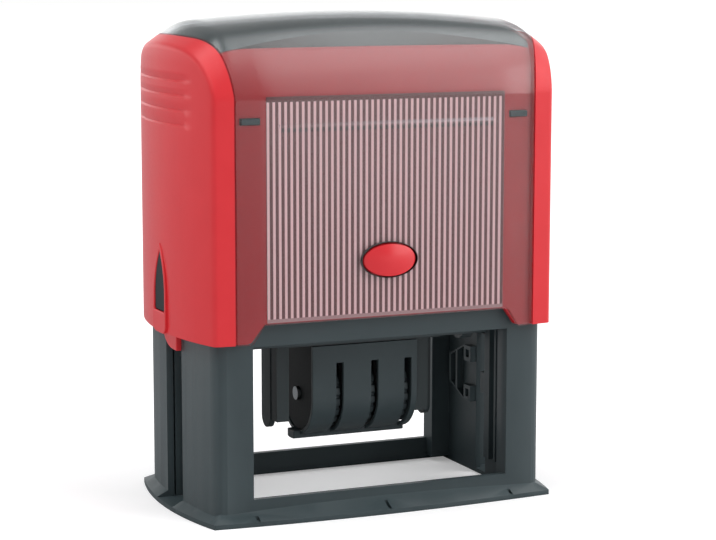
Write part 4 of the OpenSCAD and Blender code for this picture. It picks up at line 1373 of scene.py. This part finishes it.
def studio_world():
    """Soft light from all round, white where it is seen, and a studio where it is mirrored.

    The studio is a white backdrop behind, a dim room in front, two soft boxes overhead and a window
    at the right. Each limit has a part of the ray's way, where it starts and stops, and its light there.
    """
    world = bpy.data.worlds.new("studio")
    bpy.context.scene.world = world
    world.use_nodes = True
    tree = world.node_tree
    tree.nodes.clear()
    output = add(tree, "ShaderNodeOutputWorld")
    way = add(tree, "ShaderNodeTexCoord").outputs["Generated"]
    parts = add(tree, "ShaderNodeSeparateXYZ", {"Vector": way}).outputs
    off_gap = add(
        tree, "ShaderNodeMath", {0: parts["X"], 1: BOX_GAP_X}, operation="SUBTRACT"
    ).outputs["Value"]
    aside = add(tree, "ShaderNodeMath", {0: off_gap}, operation="ABSOLUTE").outputs["Value"]
    towards = add(tree, "ShaderNodeVectorMath", {0: way, 1: WINDOW_WAY}, operation="DOT_PRODUCT")
    limits = {
        "overhead": (parts["Z"], 0.15, 0.97, 0.0, SOFT_BOX),
        "forward": (parts["Y"], 0.2, 0.54, 1.0, 0.0),
        "across": (aside, 0.05, 0.38, 0.3, 1.5),
        "low": (parts["Z"], 0.14, 0.42, 1.0, 0.0),
        "behind": (parts["Y"], -0.5, 0.2, 0.0, BACKDROP),
        "window": (towards.outputs["Value"], 0.82, 0.99, 0.0, WINDOW),
    }
    eased = {}
    for name, (value, start, stop, first, last) in limits.items():
        eased[name] = add(
            tree,
            "ShaderNodeMapRange",
            {"Value": value, "From Min": start, "From Max": stop, "To Min": first, "To Max": last},
            interpolation_type="SMOOTHSTEP",
        ).outputs["Result"]
    boxes = add(
        tree,
        "ShaderNodeMath",
        {0: eased["forward"], 1: eased["across"]},
        operation="MULTIPLY",
    ).outputs["Value"]
    drop = add(
        tree,
        "ShaderNodeMath",
        {0: eased["low"], 1: eased["behind"], 2: DIM_ROOM},
        operation="MULTIPLY_ADD",
    ).outputs["Value"]
    room = add(
        tree,
        "ShaderNodeMath",
        {0: eased["overhead"], 1: boxes, 2: drop},
        operation="MULTIPLY_ADD",
    ).outputs["Value"]
    mirrored = add(
        tree, "ShaderNodeMath", {0: room, 1: eased["window"]}, operation="ADD"
    ).outputs["Value"]
    path = add(tree, "ShaderNodeLightPath")
    lit = add(
        tree,
        "ShaderNodeMix",
        {"Factor": path.outputs["Is Glossy Ray"], "A": AMBIENT, "B": mirrored},
        data_type="FLOAT",
    )
    seen = add(
        tree,
        "ShaderNodeMath",
        {0: path.outputs["Is Camera Ray"], 1: path.outputs["Is Transmission Ray"]},
        operation="MAXIMUM",
    )
    strength = add(
        tree,
        "ShaderNodeMix",
        {"Factor": seen.outputs["Value"], "A": lit.outputs["Result"], "B": 1.0},
        data_type="FLOAT",
    )
    sky = add(
        tree,
        "ShaderNodeBackground",
        {"Color": linear("#ffffff"), "Strength": strength.outputs["Result"]},
    )
    tree.links.new(sky.outputs["Background"], output.inputs["Surface"])


# Camera, with the photograph's frame in pixels

PHOTO_W = 716
FOCUS = 2200
SHIFT_X = 13.9
SHIFT_Y = 21.683
SENSOR = 36
AZIMUTH = math.radians(-23.3733)
ELEVATION = math.radians(8.7332)
DISTANCE = 656.0
AIM_Z = 60


def photo_camera():
    """Camera at the photograph's viewing angle."""
    lens = bpy.data.cameras.new("photo_camera")
    lens.sensor_width = SENSOR
    lens.lens = FOCUS / PHOTO_W * SENSOR
    lens.shift_x = SHIFT_X / PHOTO_W
    lens.shift_y = SHIFT_Y / PHOTO_W
    camera = bpy.data.objects.new("photo_camera", lens)
    bpy.context.scene.collection.objects.link(camera)
    back = Vector(
        (
            math.sin(AZIMUTH) * math.cos(ELEVATION),
            -math.cos(AZIMUTH) * math.cos(ELEVATION),
            math.sin(ELEVATION),
        )
    )
    camera.location = (Vector((0, 0, AIM_Z)) + back * DISTANCE) * MM
    camera.rotation_euler = back.to_track_quat("Z", "Y").to_euler()
    bpy.context.scene.camera = camera


white_floor()
studio_world()
soft_sun("key_light", heading=(0.62, -0.44, 0.66), spread=60, strength=1.85)
soft_sun("top_light", heading=(-0.38, 0.2, 0.9), spread=50, strength=1.15)
photo_camera()
bpy.context.scene.view_settings.view_transform = "Standard"

boxes = {"cad": cad_box, "visual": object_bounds()}
{name: [list(corner) for corner in box] for name, box in boxes.items()}
